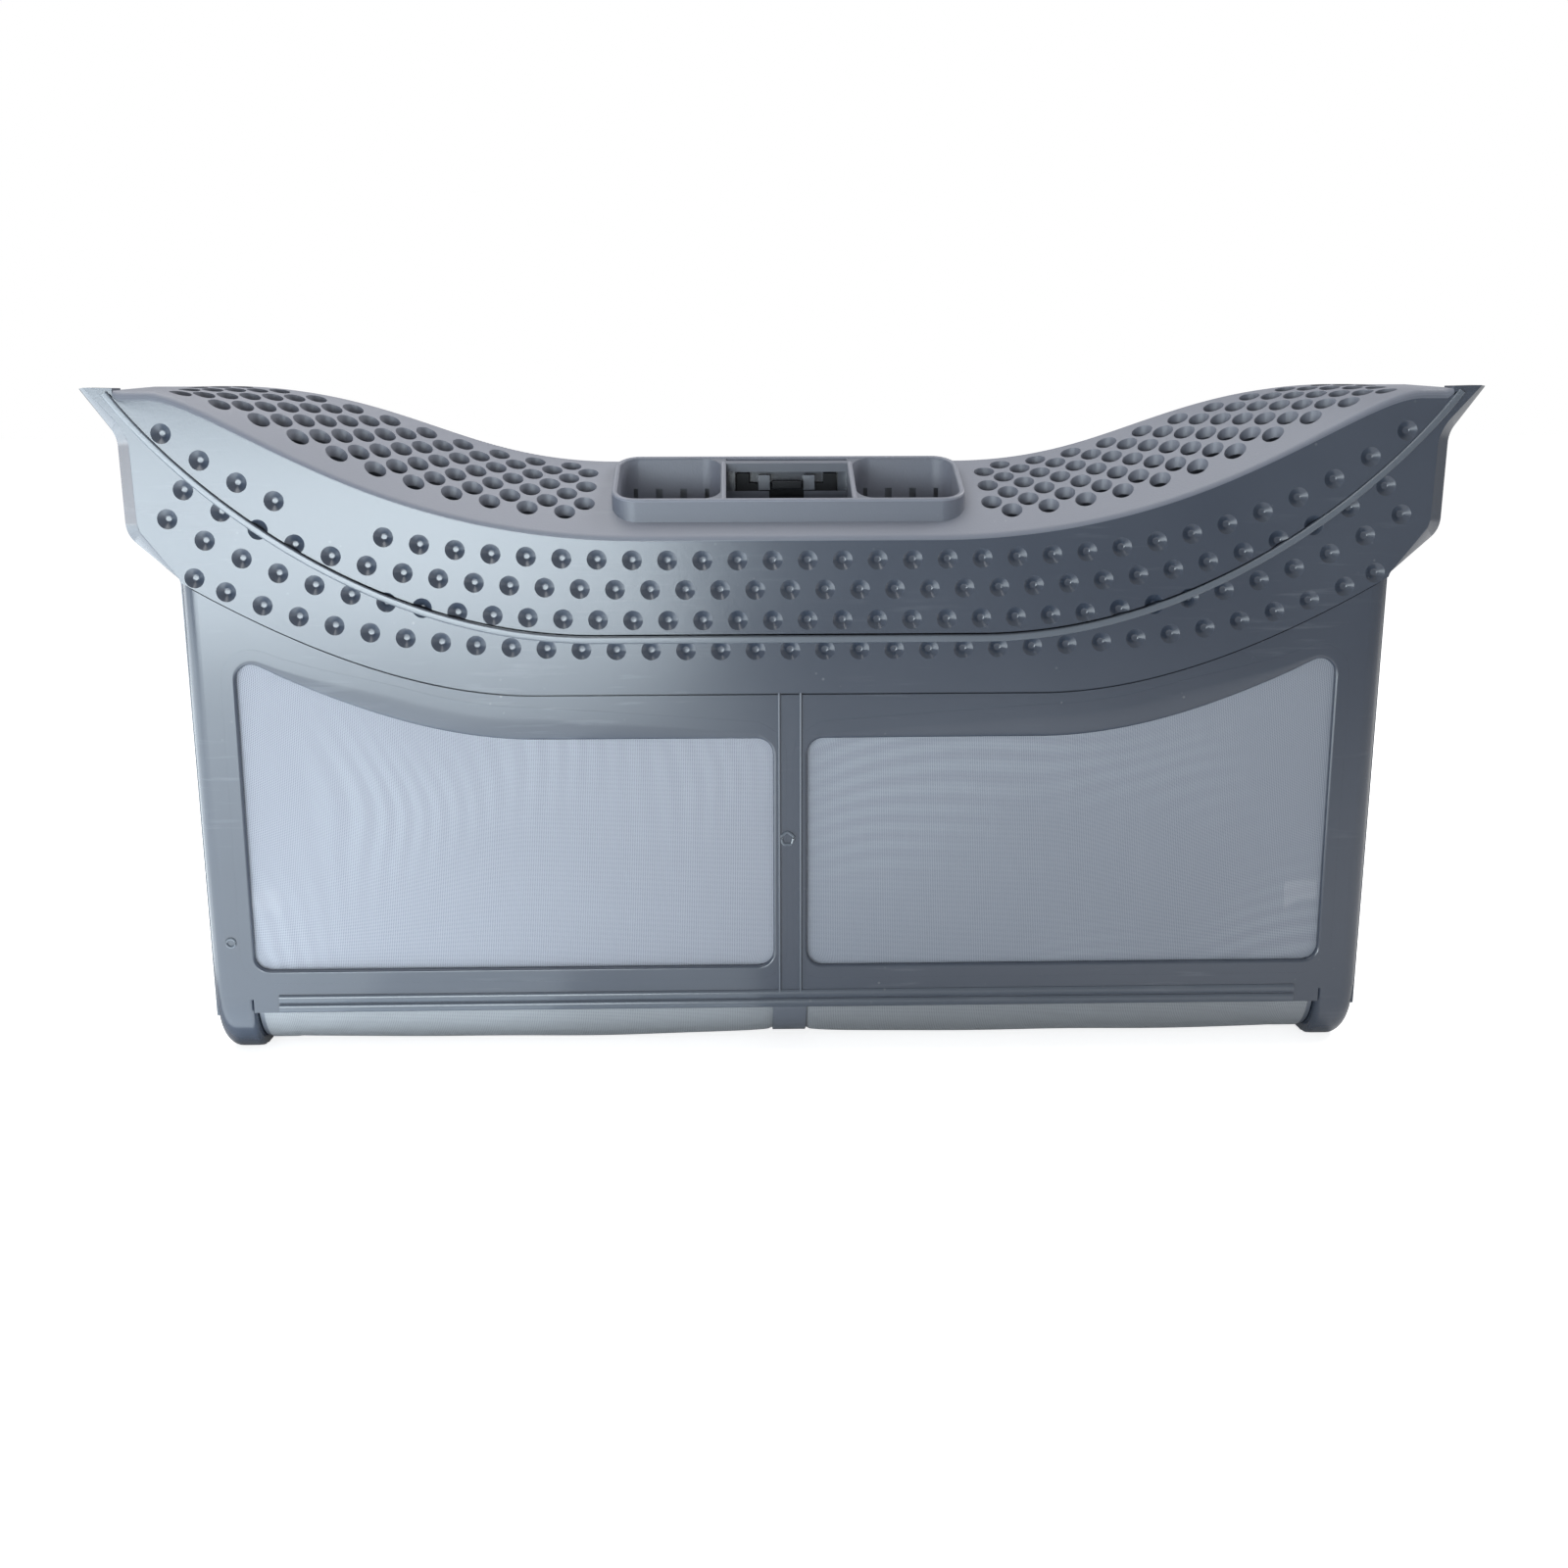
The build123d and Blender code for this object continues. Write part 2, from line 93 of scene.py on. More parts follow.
@dataclass(frozen=True)
class SweptLine:
    """A line across the filter: flat in the middle, then one cubic bend up on each side."""

    flat: float
    trough: float
    low: Point
    high: Point
    end: Point

    def height(self, x: float) -> float:
        """Height of the line.

        Args:
            x: place across the filter, in mm from the middle.

        Returns:
            The line's height there, in mm.
        """
        x = abs(x)
        if x <= self.flat:
            return self.trough
        if x >= self.end[0]:
            return self.end[1]
        first, last = 0.0, 1.0
        for _ in range(40):
            t = (first + last) / 2
            if self.at(t)[0] < x:
                first = t
            else:
                last = t
        return self.at(first)[1]

    def at(self, t: float) -> Point:
        """Point on the right-hand bend at a share t of its way.

        Args:
            t: share of the way, from 0 to 1.

        Returns:
            The point, in mm.
        """
        a, b, c, d = (1 - t) ** 3, 3 * t * (1 - t) ** 2, 3 * t * t * (1 - t), t**3
        x = a * self.flat + b * self.low[0] + c * self.high[0] + d * self.end[0]
        z = a * self.trough + b * self.low[1] + c * self.high[1] + d * self.end[1]
        return x, z

    def points(self, drop: float = 0.0, steps: int = 40) -> list[Point]:
        """The whole line from the left end to the right end.

        Args:
            drop: distance that the line is lowered by, in mm.
            steps: points along each bend.

        Returns:
            Points from left to right, in mm.
        """
        right = [self.at(i / steps) for i in range(steps + 1)]
        left = [(-x, z) for x, z in reversed(right)]
        return [(x, z - drop) for x, z in left + right]


@dataclass(frozen=True)
class CaseSizes:
    """Sizes that several pieces share, in mm, as in the part's source."""

    height: float = 216.0
    foot_x: float = 186.9
    waist: Point = (188.3, 156.5)
    ear: Point = (203.5, 171.0)
    shoulder: Point = (204.0, 200.5)
    tip: Point = (215.5, 216.0)
    ear_radius: float = 8.0
    waist_radius: float = 3.0
    shoulder_radius: float = 10.0
    over_tip: float = 6.0
    over_side: float = 4.0
    seam_tip: float = 207.0
    cover_end: float = 204.3
    sill: float = 16.0
    centre_bar: float = 5.4
    window_sill: float = 30.2
    window_drop: float = 15.0
    hinge: Point = (1.4, 20.5)
    frame_face: float = -21.6
    frame_back: float = -19.1
    band_face: float = -23.6
    wall_end: float = 18.1
    crown_rear: float = 22.9
    cloth: float = 0.8
    seam: SweptLine = SweptLine(60, 139, (130, 139), (185, 185), (207, 216))
    band: SweptLine = SweptLine(80, 120.7, (120, 120.7), (160, 140), (190, 158))
    crease: SweptLine = SweptLine(45, 169.5, (135, 169.5), (175, 214), (195, 214))
    middle: SweptLine = SweptLine(50, 182.8, (122, 182.8), (149, 214.5), (189, 214.5))
    rear: SweptLine = SweptLine(55, 191, (107, 191), (122, 215), (180, 215))

    def crown(self, x: float, y: float) -> float:
        """Height of the crown's outer skin above the feet.

        Args:
            x: place across the filter, in mm.
            y: place from front to rear, in mm.

        Returns:
            The skin's height, in mm.
        """
        t = (y - self.band_face) / (self.crown_rear - self.band_face)
        front, middle, rear = self.crease.height(x), self.middle.height(x), self.rear.height(x)
        return front * (1 - t) * (1 - 2 * t) + middle * 4 * t * (1 - t) + rear * t * (2 * t - 1)

    def outline(self, bottom: float, flare: bool, inset: float = 0.0) -> list[Point]:
        """Case seen from the front.

        Args:
            bottom: level of its lower edge, in mm.
            flare: whether the flared tips are on it.
            inset: distance that its sides are moved inwards, in mm.

        Returns:
            Corner points, counter-clockwise, in mm.
        """
        draft = (self.waist[0] - self.foot_x) * (self.waist[1] - bottom) / self.waist[1]
        half = [(self.waist[0] - draft, bottom, 0.0)]
        half.append((*self.waist, self.waist_radius + inset))
        half.append((*self.ear, self.ear_radius - inset))
        if flare:
            rise = self.tip[1] - self.shoulder[1]
            beyond = self.over_tip * (self.tip[0] - self.shoulder[0]) / rise
            half.append((*self.shoulder, self.shoulder_radius))
            half.append((self.tip[0] + beyond, self.tip[1] + self.over_tip, 0.0))
        else:
            half.append((self.shoulder[0], self.height + self.over_side, 0.0))
        moved = [(x - inset, z, r) for x, z, r in half]
        other = [(-x, z, r) for x, z, r in reversed(moved)]
        return rounded_path(moved + other)


SIZES = CaseSizes()


def clamp(value: float) -> float:
    """The value held between 0 and 1."""
    return min(max(value, 0.0), 1.0)


def ease(share: float) -> float:
    """Share that starts and ends softly."""
    return share * share * (3 - 2 * share)


def round_turns(count: int, start: float = 0.0) -> list[float]:
    """Angles of evenly spread points round a circle, in radians."""
    return [2 * math.pi * k / count + start for k in range(count)]


def neighbours(
    path: Sequence[Point | Vector], number: int, closed: bool
) -> tuple[Point | Vector, Point | Vector]:
    """Points before and after one point of a path; at an open end, the point itself.

    Args:
        path: points of the path.
        number: number of the point.
        closed: whether the path is a loop.

    Returns:
        The point before and the point after.
    """
    count = len(path)
    last = path[number - 1] if closed or number > 0 else path[number]
    after = path[(number + 1) % count] if closed or number < count - 1 else path[number]
    return last, after


def circle(middle: Point, reach: float, turns: Sequence[float]) -> list[Point]:
    """Points round a middle at given angles, in mm."""
    return [(middle[0] + reach * math.cos(a), middle[1] + reach * math.sin(a)) for a in turns]


def bend(start: Point, knee: Point, end: Point, t: float) -> Point:
    """Point on a rounded corner at a share t of its way."""
    a, b, c = (1 - t) ** 2, 2 * t * (1 - t), t * t
    return a * start[0] + b * knee[0] + c * end[0], a * start[1] + b * knee[1] + c * end[1]


def rounded_path(corners: Sequence[tuple[float, float, float]], steps: int = 8) -> list[Point]:
    """Closed path with rounded corners.

    Args:
        corners: x, z and radius of each corner, in mm.
        steps: points along each rounded corner.

    Returns:
        Points along the path, in mm.
    """
    path: list[Point] = []
    count = len(corners)
    for i, (x, z, radius) in enumerate(corners):
        here = Vector((x, z))
        to_last = (Vector(corners[i - 1][:2]) - here).normalized()
        to_next = (Vector(corners[(i + 1) % count][:2]) - here).normalized()
        turn = math.pi - to_last.angle(to_next)
        if radius <= 0 or turn < 0.01:
            path.append((x, z))
            continue
        reach = radius * math.tan(turn / 2)
        centre = here + (to_last + to_next).normalized() * (radius / math.cos(turn / 2))
        first = here + to_last * reach - centre
        sweep = first.angle_signed(here + to_next * reach - centre)
        for k in range(steps + 1):
            arm = first.copy()
            arm.rotate(Matrix.Rotation(-sweep * k / steps, 2))
            path.append((centre.x + arm.x, centre.y + arm.y))
    return path


def new_object(name: str, data: bpy.types.ID) -> bpy.types.Object:
    """Object for a mesh, lamp or camera, linked to the scene.

    Args:
        name: name of the object.
        data: its mesh, lamp or camera.

    Returns:
        The new object.
    """
    obj = bpy.data.objects.new(name, data)
    bpy.context.scene.collection.objects.link(obj)
    return obj


def from_bmesh(name: str, bm: bmesh.types.BMesh) -> bpy.types.Object:
    """Object for a finished bmesh, which is freed.

    Args:
        name: name of the object.
        bm: its faces, in metres.

    Returns:
        The new object.
    """
    mesh = bpy.data.meshes.new(name)
    bm.to_mesh(mesh)
    bm.free()
    return new_object(name, mesh)


def from_rings(
    name: str, rings: Sequence[Sequence[Vector]], loop: bool = False
) -> bpy.types.Object:
    """Skin over closed rings of points, with closed ends.

    Args:
        name: name of the object.
        rings: rings of equal length, in mm.
        loop: whether the last ring joins the first, without ends.

    Returns:
        The new object, in metres.
    """
    bm = bmesh.new()
    made = [[bm.verts.new(p * MM) for p in ring] for ring in rings]
    pairs = list(zip(made, made[1:]))
    if loop:
        pairs.append((made[-1], made[0]))
    for near, far in pairs:
        for i in range(len(near)):
            j = (i + 1) % len(near)
            bm.faces.new((near[i], near[j], far[j], far[i]))
    if not loop:
        bm.faces.new(list(reversed(made[0])))
        bm.faces.new(made[-1])
    bmesh.ops.recalc_face_normals(bm, faces=bm.faces)
    return from_bmesh(name, bm)


def in_triangles(obj: bpy.types.Object) -> bpy.types.Object:
    """The same object with flat triangles for faces, which cut cleanly.

    Args:
        obj: the object that is changed.

    Returns:
        The same object.
    """
    bm = bmesh.new()
    bm.from_mesh(obj.data)
    bmesh.ops.triangulate(bm, faces=bm.faces)
    bm.to_mesh(obj.data)
    bm.free()
    return obj


def inset_path(
    path: Sequence[Point], distance: float, share: Callable[[float], float] | None = None
) -> list[Point]:
    """Closed path moved inwards.

    Args:
        path: counter-clockwise points, in mm.
        distance: how far its sides move, in mm.
        share: gives the share of the distance that is used at a level.

    Returns:
        As many points, in mm.
    """
    moved: list[Point] = []
    for i, (x, z) in enumerate(path):
        last, following = neighbours(path, i, True)
        before = Vector((x, z)) - Vector(last)
        after = Vector(following) - Vector((x, z))
        n1 = Vector((-before.y, before.x)).normalized()
        n2 = Vector((-after.y, after.x)).normalized()
        mitre = (n1 + n2) / max(1 + n1.dot(n2), 0.15)
        if share:
            mitre *= share(z)
        moved.append((x + mitre.x * distance, z + mitre.y * distance))
    return moved


def slab(
    name: str,
    path: Sequence[Point],
    front: float,
    back: float,
    edge: Sequence[Point] = ((0.0, 0.0),),
    share: Callable[[float], float] | None = None,
) -> bpy.types.Object:
    """Upright plate with a shaped front edge.

    Args:
        name: name of the object.
        path: its outline seen from the front, in mm.
        front: depth of its front face, in mm.
        back: depth of its back face, in mm.
        edge: steps of the front edge, as distances in from the outline and back from the face,
            in mm.
        share: gives the share of the edge's distances in that is used at a level.

    Returns:
        The new object, in metres.
    """
    area = sum(a[0] * b[1] - b[0] * a[1] for a, b in zip(path, list(path[1:]) + [path[0]]))
    path = list(path) if area > 0 else list(reversed(path))
    rings = []
    for inward, deep in edge:
        ring = inset_path(path, inward, share) if inward else path
        rings.append([Vector((x, front + deep, z)) for x, z in ring])
    last = edge[-1][0]
    rings.append([Vector((x, back, z)) for x, z in (inset_path(path, last) if last else path)])
    return from_rings(name, rings)


def round_edge(radius: float, widen: float = 0.0, steps: int = 7) -> list[Point]:
    """Steps of a rounded plate edge that ends a little wider than the outline, in mm.

    Args:
        radius: radius of the edge, in mm.
        widen: distance past the outline, in mm.
        steps: steps along the edge.

    Returns:
        Distances in from the outline and back from the face, in mm.
    """
    turns = [math.pi / 2 * k / steps for k in range(steps + 1)]
    reach = radius + widen
    return [(reach * (1 - math.sin(a)) - widen, radius * (1 - math.cos(a))) for a in turns]


def box(name: str, x: Point, y: Point, z: Point) -> bpy.types.Object:
    """Plain block between two limits along each axis, used to cut or to build up a solid."""
    return slab(name, rectangle(x, z), *y)


def rectangle(first: Point, second: Point) -> list[Point]:
    """Corners of a rectangle between two limits along each of two axes."""
    (a, b), (c, d) = first, second
    return [(a, c), (b, c), (b, d), (a, d)]


def level_prism(name: str, path: Sequence[Point], low: float, high: float) -> bpy.types.Object:
    """Upright prism over an outline that lies in the level plane, in mm."""
    rings = [[Vector((x, y, z)) for x, y in path] for z in (low, high)]
    return from_rings(name, rings)


def sweep(
    name: str,
    path: Sequence[Point],
    profile: Callable[[int, Vector], Sequence[Point]],
    closed: bool = False,
) -> bpy.types.Object:
    """Bar along a path seen from the front.

    Args:
        name: name of the object.
        path: points of the path, in mm.
        profile: gives the bar's section at a point from its number and the path's normal there.
            Each section point is a distance along that normal and a depth, in mm.
        closed: whether the path is a loop.

    Returns:
        The new object, in metres.
    """
    rings = []
    for i, (x, z) in enumerate(path):
        last, after = neighbours(path, i, closed)
        along = Vector((after[0] - last[0], after[1] - last[1])).normalized()
        normal = Vector((along.y, -along.x))
        section = profile(i, normal)
        rings.append([Vector((x + normal.x * s, depth, z + normal.y * s)) for s, depth in section])
    return from_rings(name, rings, loop=closed)


def tube(
    name: str, path: Sequence[Vector], radius: float, sides: int = 12, loop: bool = True
) -> bpy.types.Object:
    """Round bar along points in space.

    Args:
        name: name of the object.
        path: points of its middle line, in mm.
        radius: its radius, in mm.
        sides: faces round it.
        loop: whether it closes on itself.

    Returns:
        The new object, in metres.
    """
    rings = []
    for i, point in enumerate(path):
        last, after = neighbours(path, i, loop)
        along = (after - last).normalized()
        across = along.cross(Vector((0, 0, 1)))
        across = across.normalized() if across.length > 0.01 else Vector((1, 0, 0))
        up = across.cross(along)
        arms = [across * math.cos(a) + up * math.sin(a) for a in round_turns(sides)]
        rings.append([point + arm * radius for arm in arms])
    return from_rings(name, rings, loop=loop)


def applied(obj: bpy.types.Object) -> bpy.types.Object:
    """The same object with its modifiers worked into its mesh.

    Args:
        obj: the object that is changed.

    Returns:
        The same object.
    """
    graph = bpy.context.evaluated_depsgraph_get()
    mesh = bpy.data.meshes.new_from_object(obj.evaluated_get(graph))
    old = obj.data
    obj.modifiers.clear()
    obj.data = mesh
    bpy.data.meshes.remove(old)
    return obj


def cut(obj: bpy.types.Object, tool: bpy.types.Object, how: Cut = Cut.TAKE) -> bpy.types.Object:
    """Works one solid on another and removes the tool.

    Args:
        obj: the solid that is worked on.
        tool: the solid that works on it.
        how: whether the tool's space is taken away or all that is kept.

    Returns:
        The worked object.
    """
    step = obj.modifiers.new("work", "BOOLEAN")
    step.object = tool
    step.operation = how.value
    step.solver = "EXACT"
    applied(obj)
    bpy.data.meshes.remove(tool.data)
    return obj


def joined(name: str, parts: Sequence[bpy.types.Object]) -> bpy.types.Object:
    """One object out of several.

    Args:
        name: name of the result.
        parts: objects whose meshes it takes, which are removed.

    Returns:
        The new object, without materials.
    """
    bm = bmesh.new()
    for part in parts:
        bm.from_mesh(part.data)
        bpy.data.meshes.remove(part.data)
    return from_bmesh(name, bm)


def toned(obj: bpy.types.Object, tone: Tone | Sequence[float]) -> bpy.types.Object:
    """Marks an object's faces with the tone that its finish reads, which sets their gloss and their
    painted light.

    Args:
        obj: the object that is marked.
        tone: one tone for all faces, or one value for each.

    Returns:
        The same object.
    """
    layer = obj.data.attributes.get("tone") or obj.data.attributes.new("tone", "FLOAT", "FACE")
    count = len(obj.data.polygons)
    layer.data.foreach_set("value", [tone.value] * count if isinstance(tone, Tone) else list(tone))
    return obj


def smooth(obj: bpy.types.Object, angle: float = 24.0) -> None:
    """Welds slivers, then shades smoothly, weighted towards the large faces.

    Args:
        obj: the object that is cleaned and shaded.
        angle: angle past which an edge stays sharp, in degrees.
    """
    mesh = obj.data
    bm = bmesh.new()
    bm.from_mesh(mesh)
    bmesh.ops.remove_doubles(bm, verts=bm.verts, dist=SLIVER)
    bmesh.ops.dissolve_degenerate(bm, edges=bm.edges, dist=SLIVER)
    idle = []
    for vert in bm.verts:
        if len(vert.link_edges) == 2:
            one, two = (edge.other_vert(vert).co - vert.co for edge in vert.link_edges)
            if one.cross(two).length < SLIVER * (one - two).length:
                idle.append(vert)
    bmesh.ops.dissolve_verts(bm, verts=idle)
    bm.to_mesh(mesh)
    bm.free()
    mesh.shade_smooth()
    mesh.set_sharp_from_angle(angle=math.radians(angle))
    weighted = obj.modifiers.new("even", "WEIGHTED_NORMAL")
    weighted.keep_sharp = True


@dataclass
class Graph:
    """Short way to lay out shader nodes in one tree."""

    tree: bpy.types.NodeTree

    def add(self, kind: str, **values: object) -> bpy.types.Node:
        """A new node.

        Args:
            kind: the node's type name after ShaderNode, or its full type name.
            values: attributes that are set on it.

        Returns:
            The node.
        """
        node = self.tree.nodes.new(kind if kind.startswith("Node") else "ShaderNode" + kind)
        for key, value in values.items():
            setattr(node, key, value)
        return node

    def link(self, source: bpy.types.NodeSocket, target: bpy.types.NodeSocket) -> None:
        """Joins an output to an input."""
        self.tree.links.new(source, target)

    def put(self, source: object, target: bpy.types.NodeSocket) -> None:
        """Joins an output to an input, or sets the input to a plain value.

        Args:
            source: an output or a plain value.
            target: the input.
        """
        if isinstance(source, bpy.types.NodeSocket):
            self.link(source, target)
        else:
            target.default_value = source

    def fill(self, node: bpy.types.Node, values: dict[str, object]) -> bpy.types.Node:
        """Fills a node's named inputs.

        Args:
            node: the node.
            values: an output or a plain value for each input.

        Returns:
            The same node.
        """
        for label, value in values.items():
            self.put(value, node.inputs[label])
        return node

    def sum(self, operation: str, a: object, b: object = 0.0) -> bpy.types.NodeSocket:
        """Result of a math node on sockets or numbers.

        Args:
            operation: what the node does.
            a: its first value.
            b: its second value.

        Returns:
            The result's socket.
        """
        node = self.add("Math", operation=operation)
        for source, target in zip((a, b), node.inputs):
            self.put(source, target)
        return node.outputs[0]

    def times(self, first: object, *others: object) -> bpy.types.NodeSocket:
        """Product of sockets or numbers.

        Args:
            first: the first factor.
            others: the other factors.

        Returns:
            The product's socket.
        """
        for other in others:
            first = self.sum("MULTIPLY", first, other)
        return first

    def noise(
        self, where: bpy.types.NodeSocket, scale: float, detail: float = 3.0
    ) -> bpy.types.NodeSocket:
        """Value of a noise at a place."""
        node = self.add("TexNoise")
        return self.fill(node, {"Vector": where, "Scale": scale, "Detail": detail}).outputs[0]

    def spread(self, value: object, start: Point, end: Point = (0.0, 1.0)) -> bpy.types.NodeSocket:
        """Value moved from one range to another and held inside it.

        Args:
            value: socket or number.
            start: the range that it is in.
            end: the range that it goes to.

        Returns:
            The moved value's socket.
        """
        node = self.add("MapRange", interpolation_type="SMOOTHSTEP")
        for source, target in zip((value, *start, *end), node.inputs):
            self.put(source, target)
        return node.outputs[0]

    def mix(self, share: object, a: object, b: object) -> bpy.types.NodeSocket:
        """Colour between two others.

        Args:
            share: share of the second colour.
            a: the first colour.
            b: the second colour.

        Returns:
            The colour's socket.
        """
        node = self.add("Mix", data_type="RGBA")
        for source, number in ((share, 0), (a, 6), (b, 7)):
            self.put(source, node.inputs[number])
        return node.outputs[2]

    def bump(self, height: bpy.types.NodeSocket, strength: float) -> bpy.types.NodeSocket:
        """Normal of a surface with a fine relief."""
        values = {"Strength": strength, "Distance": RELIEF, "Height": height}
        return self.fill(self.add("Bump"), values).outputs[0]


def new_group(
    name: str, ins: dict[str, object], outs: Sequence[str]
) -> tuple[Graph, bpy.types.Node, bpy.types.Node]:
    """Empty shader node group with named sockets.

    Args:
        name: name of the group.
        ins: start value of each input; a tuple is a colour.
        outs: names of its values, which it gives after a colour.

    Returns:
        The group's graph, its input node and its output node.
    """
    tree = bpy.data.node_groups.new(name, "ShaderNodeTree")
    for label, value in ins.items():
        kind = "NodeSocketColor" if isinstance(value, tuple) else "NodeSocketFloat"
        tree.interface.new_socket(label, in_out="INPUT", socket_type=kind).default_value = value
    tree.interface.new_socket("Colour", in_out="OUTPUT", socket_type="NodeSocketColor")
    for label in outs:
        tree.interface.new_socket(label, in_out="OUTPUT", socket_type="NodeSocketFloat")
    graph = Graph(tree)
    return graph, graph.add("NodeGroupInput"), graph.add("NodeGroupOutput")


def new_material(name: str) -> tuple[bpy.types.Material, Graph, bpy.types.Node]:
    """New material with its graph and its main shader.

    Args:
        name: name of the material.

    Returns:
        The material, its graph and its shader.
    """
    made = bpy.data.materials.new(name)
    made.use_nodes = True
    return made, Graph(made.node_tree), made.node_tree.nodes["Principled BSDF"]


@cache
def moulded_skin() -> bpy.types.NodeTree:
    """Group for moulded plastic: fine grain, rubbed streaks, dust and slow colour drift.

    Returns:
        The group's tree.
    """
    ins = {"Colour": (0.2, 0.2, 0.2, 1.0), "Roughness": 0.3, "Grain": 1.0, "Rub": 0.5, "Dust": 0.3}
    graph, given, result = new_group("moulded_skin", ins, ("Roughness", "Height"))
    place = graph.add("TexCoord").outputs["Object"]

    # Colour that drifts slowly
    drift = graph.noise(place, 11.0, 2.0)
    amount = graph.spread(drift, (0.3, 0.7), (0.0, 0.05))
    drifted = graph.mix(amount, given.outputs["Colour"], (0.36, 0.4, 0.47, 1.0))

    # Rubbed streaks in patches
    stretch = graph.add("Mapping")
    turn, scale = (0.1, 0.35, 0.2), (38.0, 90.0, 420.0)
    graph.fill(stretch, {"Vector": place, "Rotation": turn, "Scale": scale})
    streak = graph.spread(graph.noise(stretch.outputs[0], 1.0, 4.0), (0.56, 0.74))
    patch = graph.spread(graph.noise(place, 23.0), (0.45, 0.68))
    rubbed = graph.times(streak, patch, given.outputs["Rub"])
    pale = graph.mix(graph.times(rubbed, 0.4), drifted, (0.5, 0.53, 0.58, 1.0))

    # Specks of dust in patches
    speck = graph.add("TexVoronoi", feature="F1")
    graph.fill(speck, {"Vector": place, "Scale": 260.0})
    specks = graph.spread(speck.outputs["Distance"], (0.05, 0.16), (1.0, 0.0))
    settled = graph.spread(graph.noise(place, 60.0), (0.58, 0.7))
    dust = graph.times(specks, settled, given.outputs["Dust"])
    final = graph.mix(graph.times(dust, 0.45), pale, (0.62, 0.62, 0.62, 1.0))

    # Gloss that varies with the streaks and the drift, and the mould's grain
    rough = graph.sum("ADD", given.outputs["Roughness"], graph.times(rubbed, 0.18))
    rough = graph.sum("ADD", rough, graph.times(graph.sum("SUBTRACT", drift, 0.5), 0.12))
    height = graph.times(graph.noise(place, 1500.0, 2.0), given.outputs["Grain"])
    graph.fill(result, {"Colour": final, "Roughness": rough, "Height": height})
    return graph.tree


@cache
def woven_net() -> bpy.types.NodeTree:
    """Group for filter cloth: crossing threads, their gaps and the bands where two nets beat.

    Returns:
        The group's tree.
    """
    ins = {"Colour": (0.4, 0.4, 0.4, 1.0), "Pitch": 0.0008, "Open": 0.3, "Turn": 0.0, "Bands": 0.5}
    graph, given, result = new_group("woven_net", ins, ("Cover", "Height"))
    laid = graph.add("UVMap", uv_map="cloth").outputs[0]

    # Crossing threads and the gaps between them
    place = graph.fill(graph.add("SeparateXYZ"), {"Vector": laid})
    rate = graph.sum("DIVIDE", 2 * math.pi, given.outputs["Pitch"])
    waves = [graph.sum("SINE", graph.times(place.outputs[axis], rate)) for axis in (0, 1)]
    warp, weft = (graph.spread(wave, (-0.5, 0.5)) for wave in waves)
    over = graph.sum("MAXIMUM", warp, weft)
    height = graph.sum("ADD", graph.times(warp, 0.6), graph.times(weft, 0.4))
    gap = graph.times(given.outputs["Open"], graph.sum("SUBTRACT", 1.0, over))
    cover = graph.sum("SUBTRACT", 1.0, gap)

    # Bands where two nets beat
    turned = graph.add("VectorRotate", rotation_type="Z_AXIS")
    graph.fill(turned, {"Vector": laid, "Angle": given.outputs["Turn"]})
    slow = graph.noise(turned.outputs[0], 9.0, 1.0)
    across = graph.fill(graph.add("SeparateXYZ"), {"Vector": turned.outputs[0]}).outputs[0]
    phase = graph.sum("ADD", graph.times(across, 900.0), graph.times(slow, 52.0))
    beat = graph.spread(graph.sum("SINE", phase), (-1.0, 1.0))
    bands = graph.times(beat, graph.spread(slow, (0.44, 0.66)), given.outputs["Bands"])

    # Colour of the threads, with painted shade in the gaps between them
    shade = graph.mix(bands, given.outputs["Colour"], (0.72, 0.78, 0.86, 1.0))
    fine = graph.mix(graph.times(over, 0.22), (0.16, 0.18, 0.21, 1.0), shade)
    tone = graph.mix(graph.spread(over, (0.0, 1.0), (0.55, 1.0)), fine, shade)
    graph.fill(result, {"Colour": tone, "Cover": cover, "Height": height})
    return graph.tree


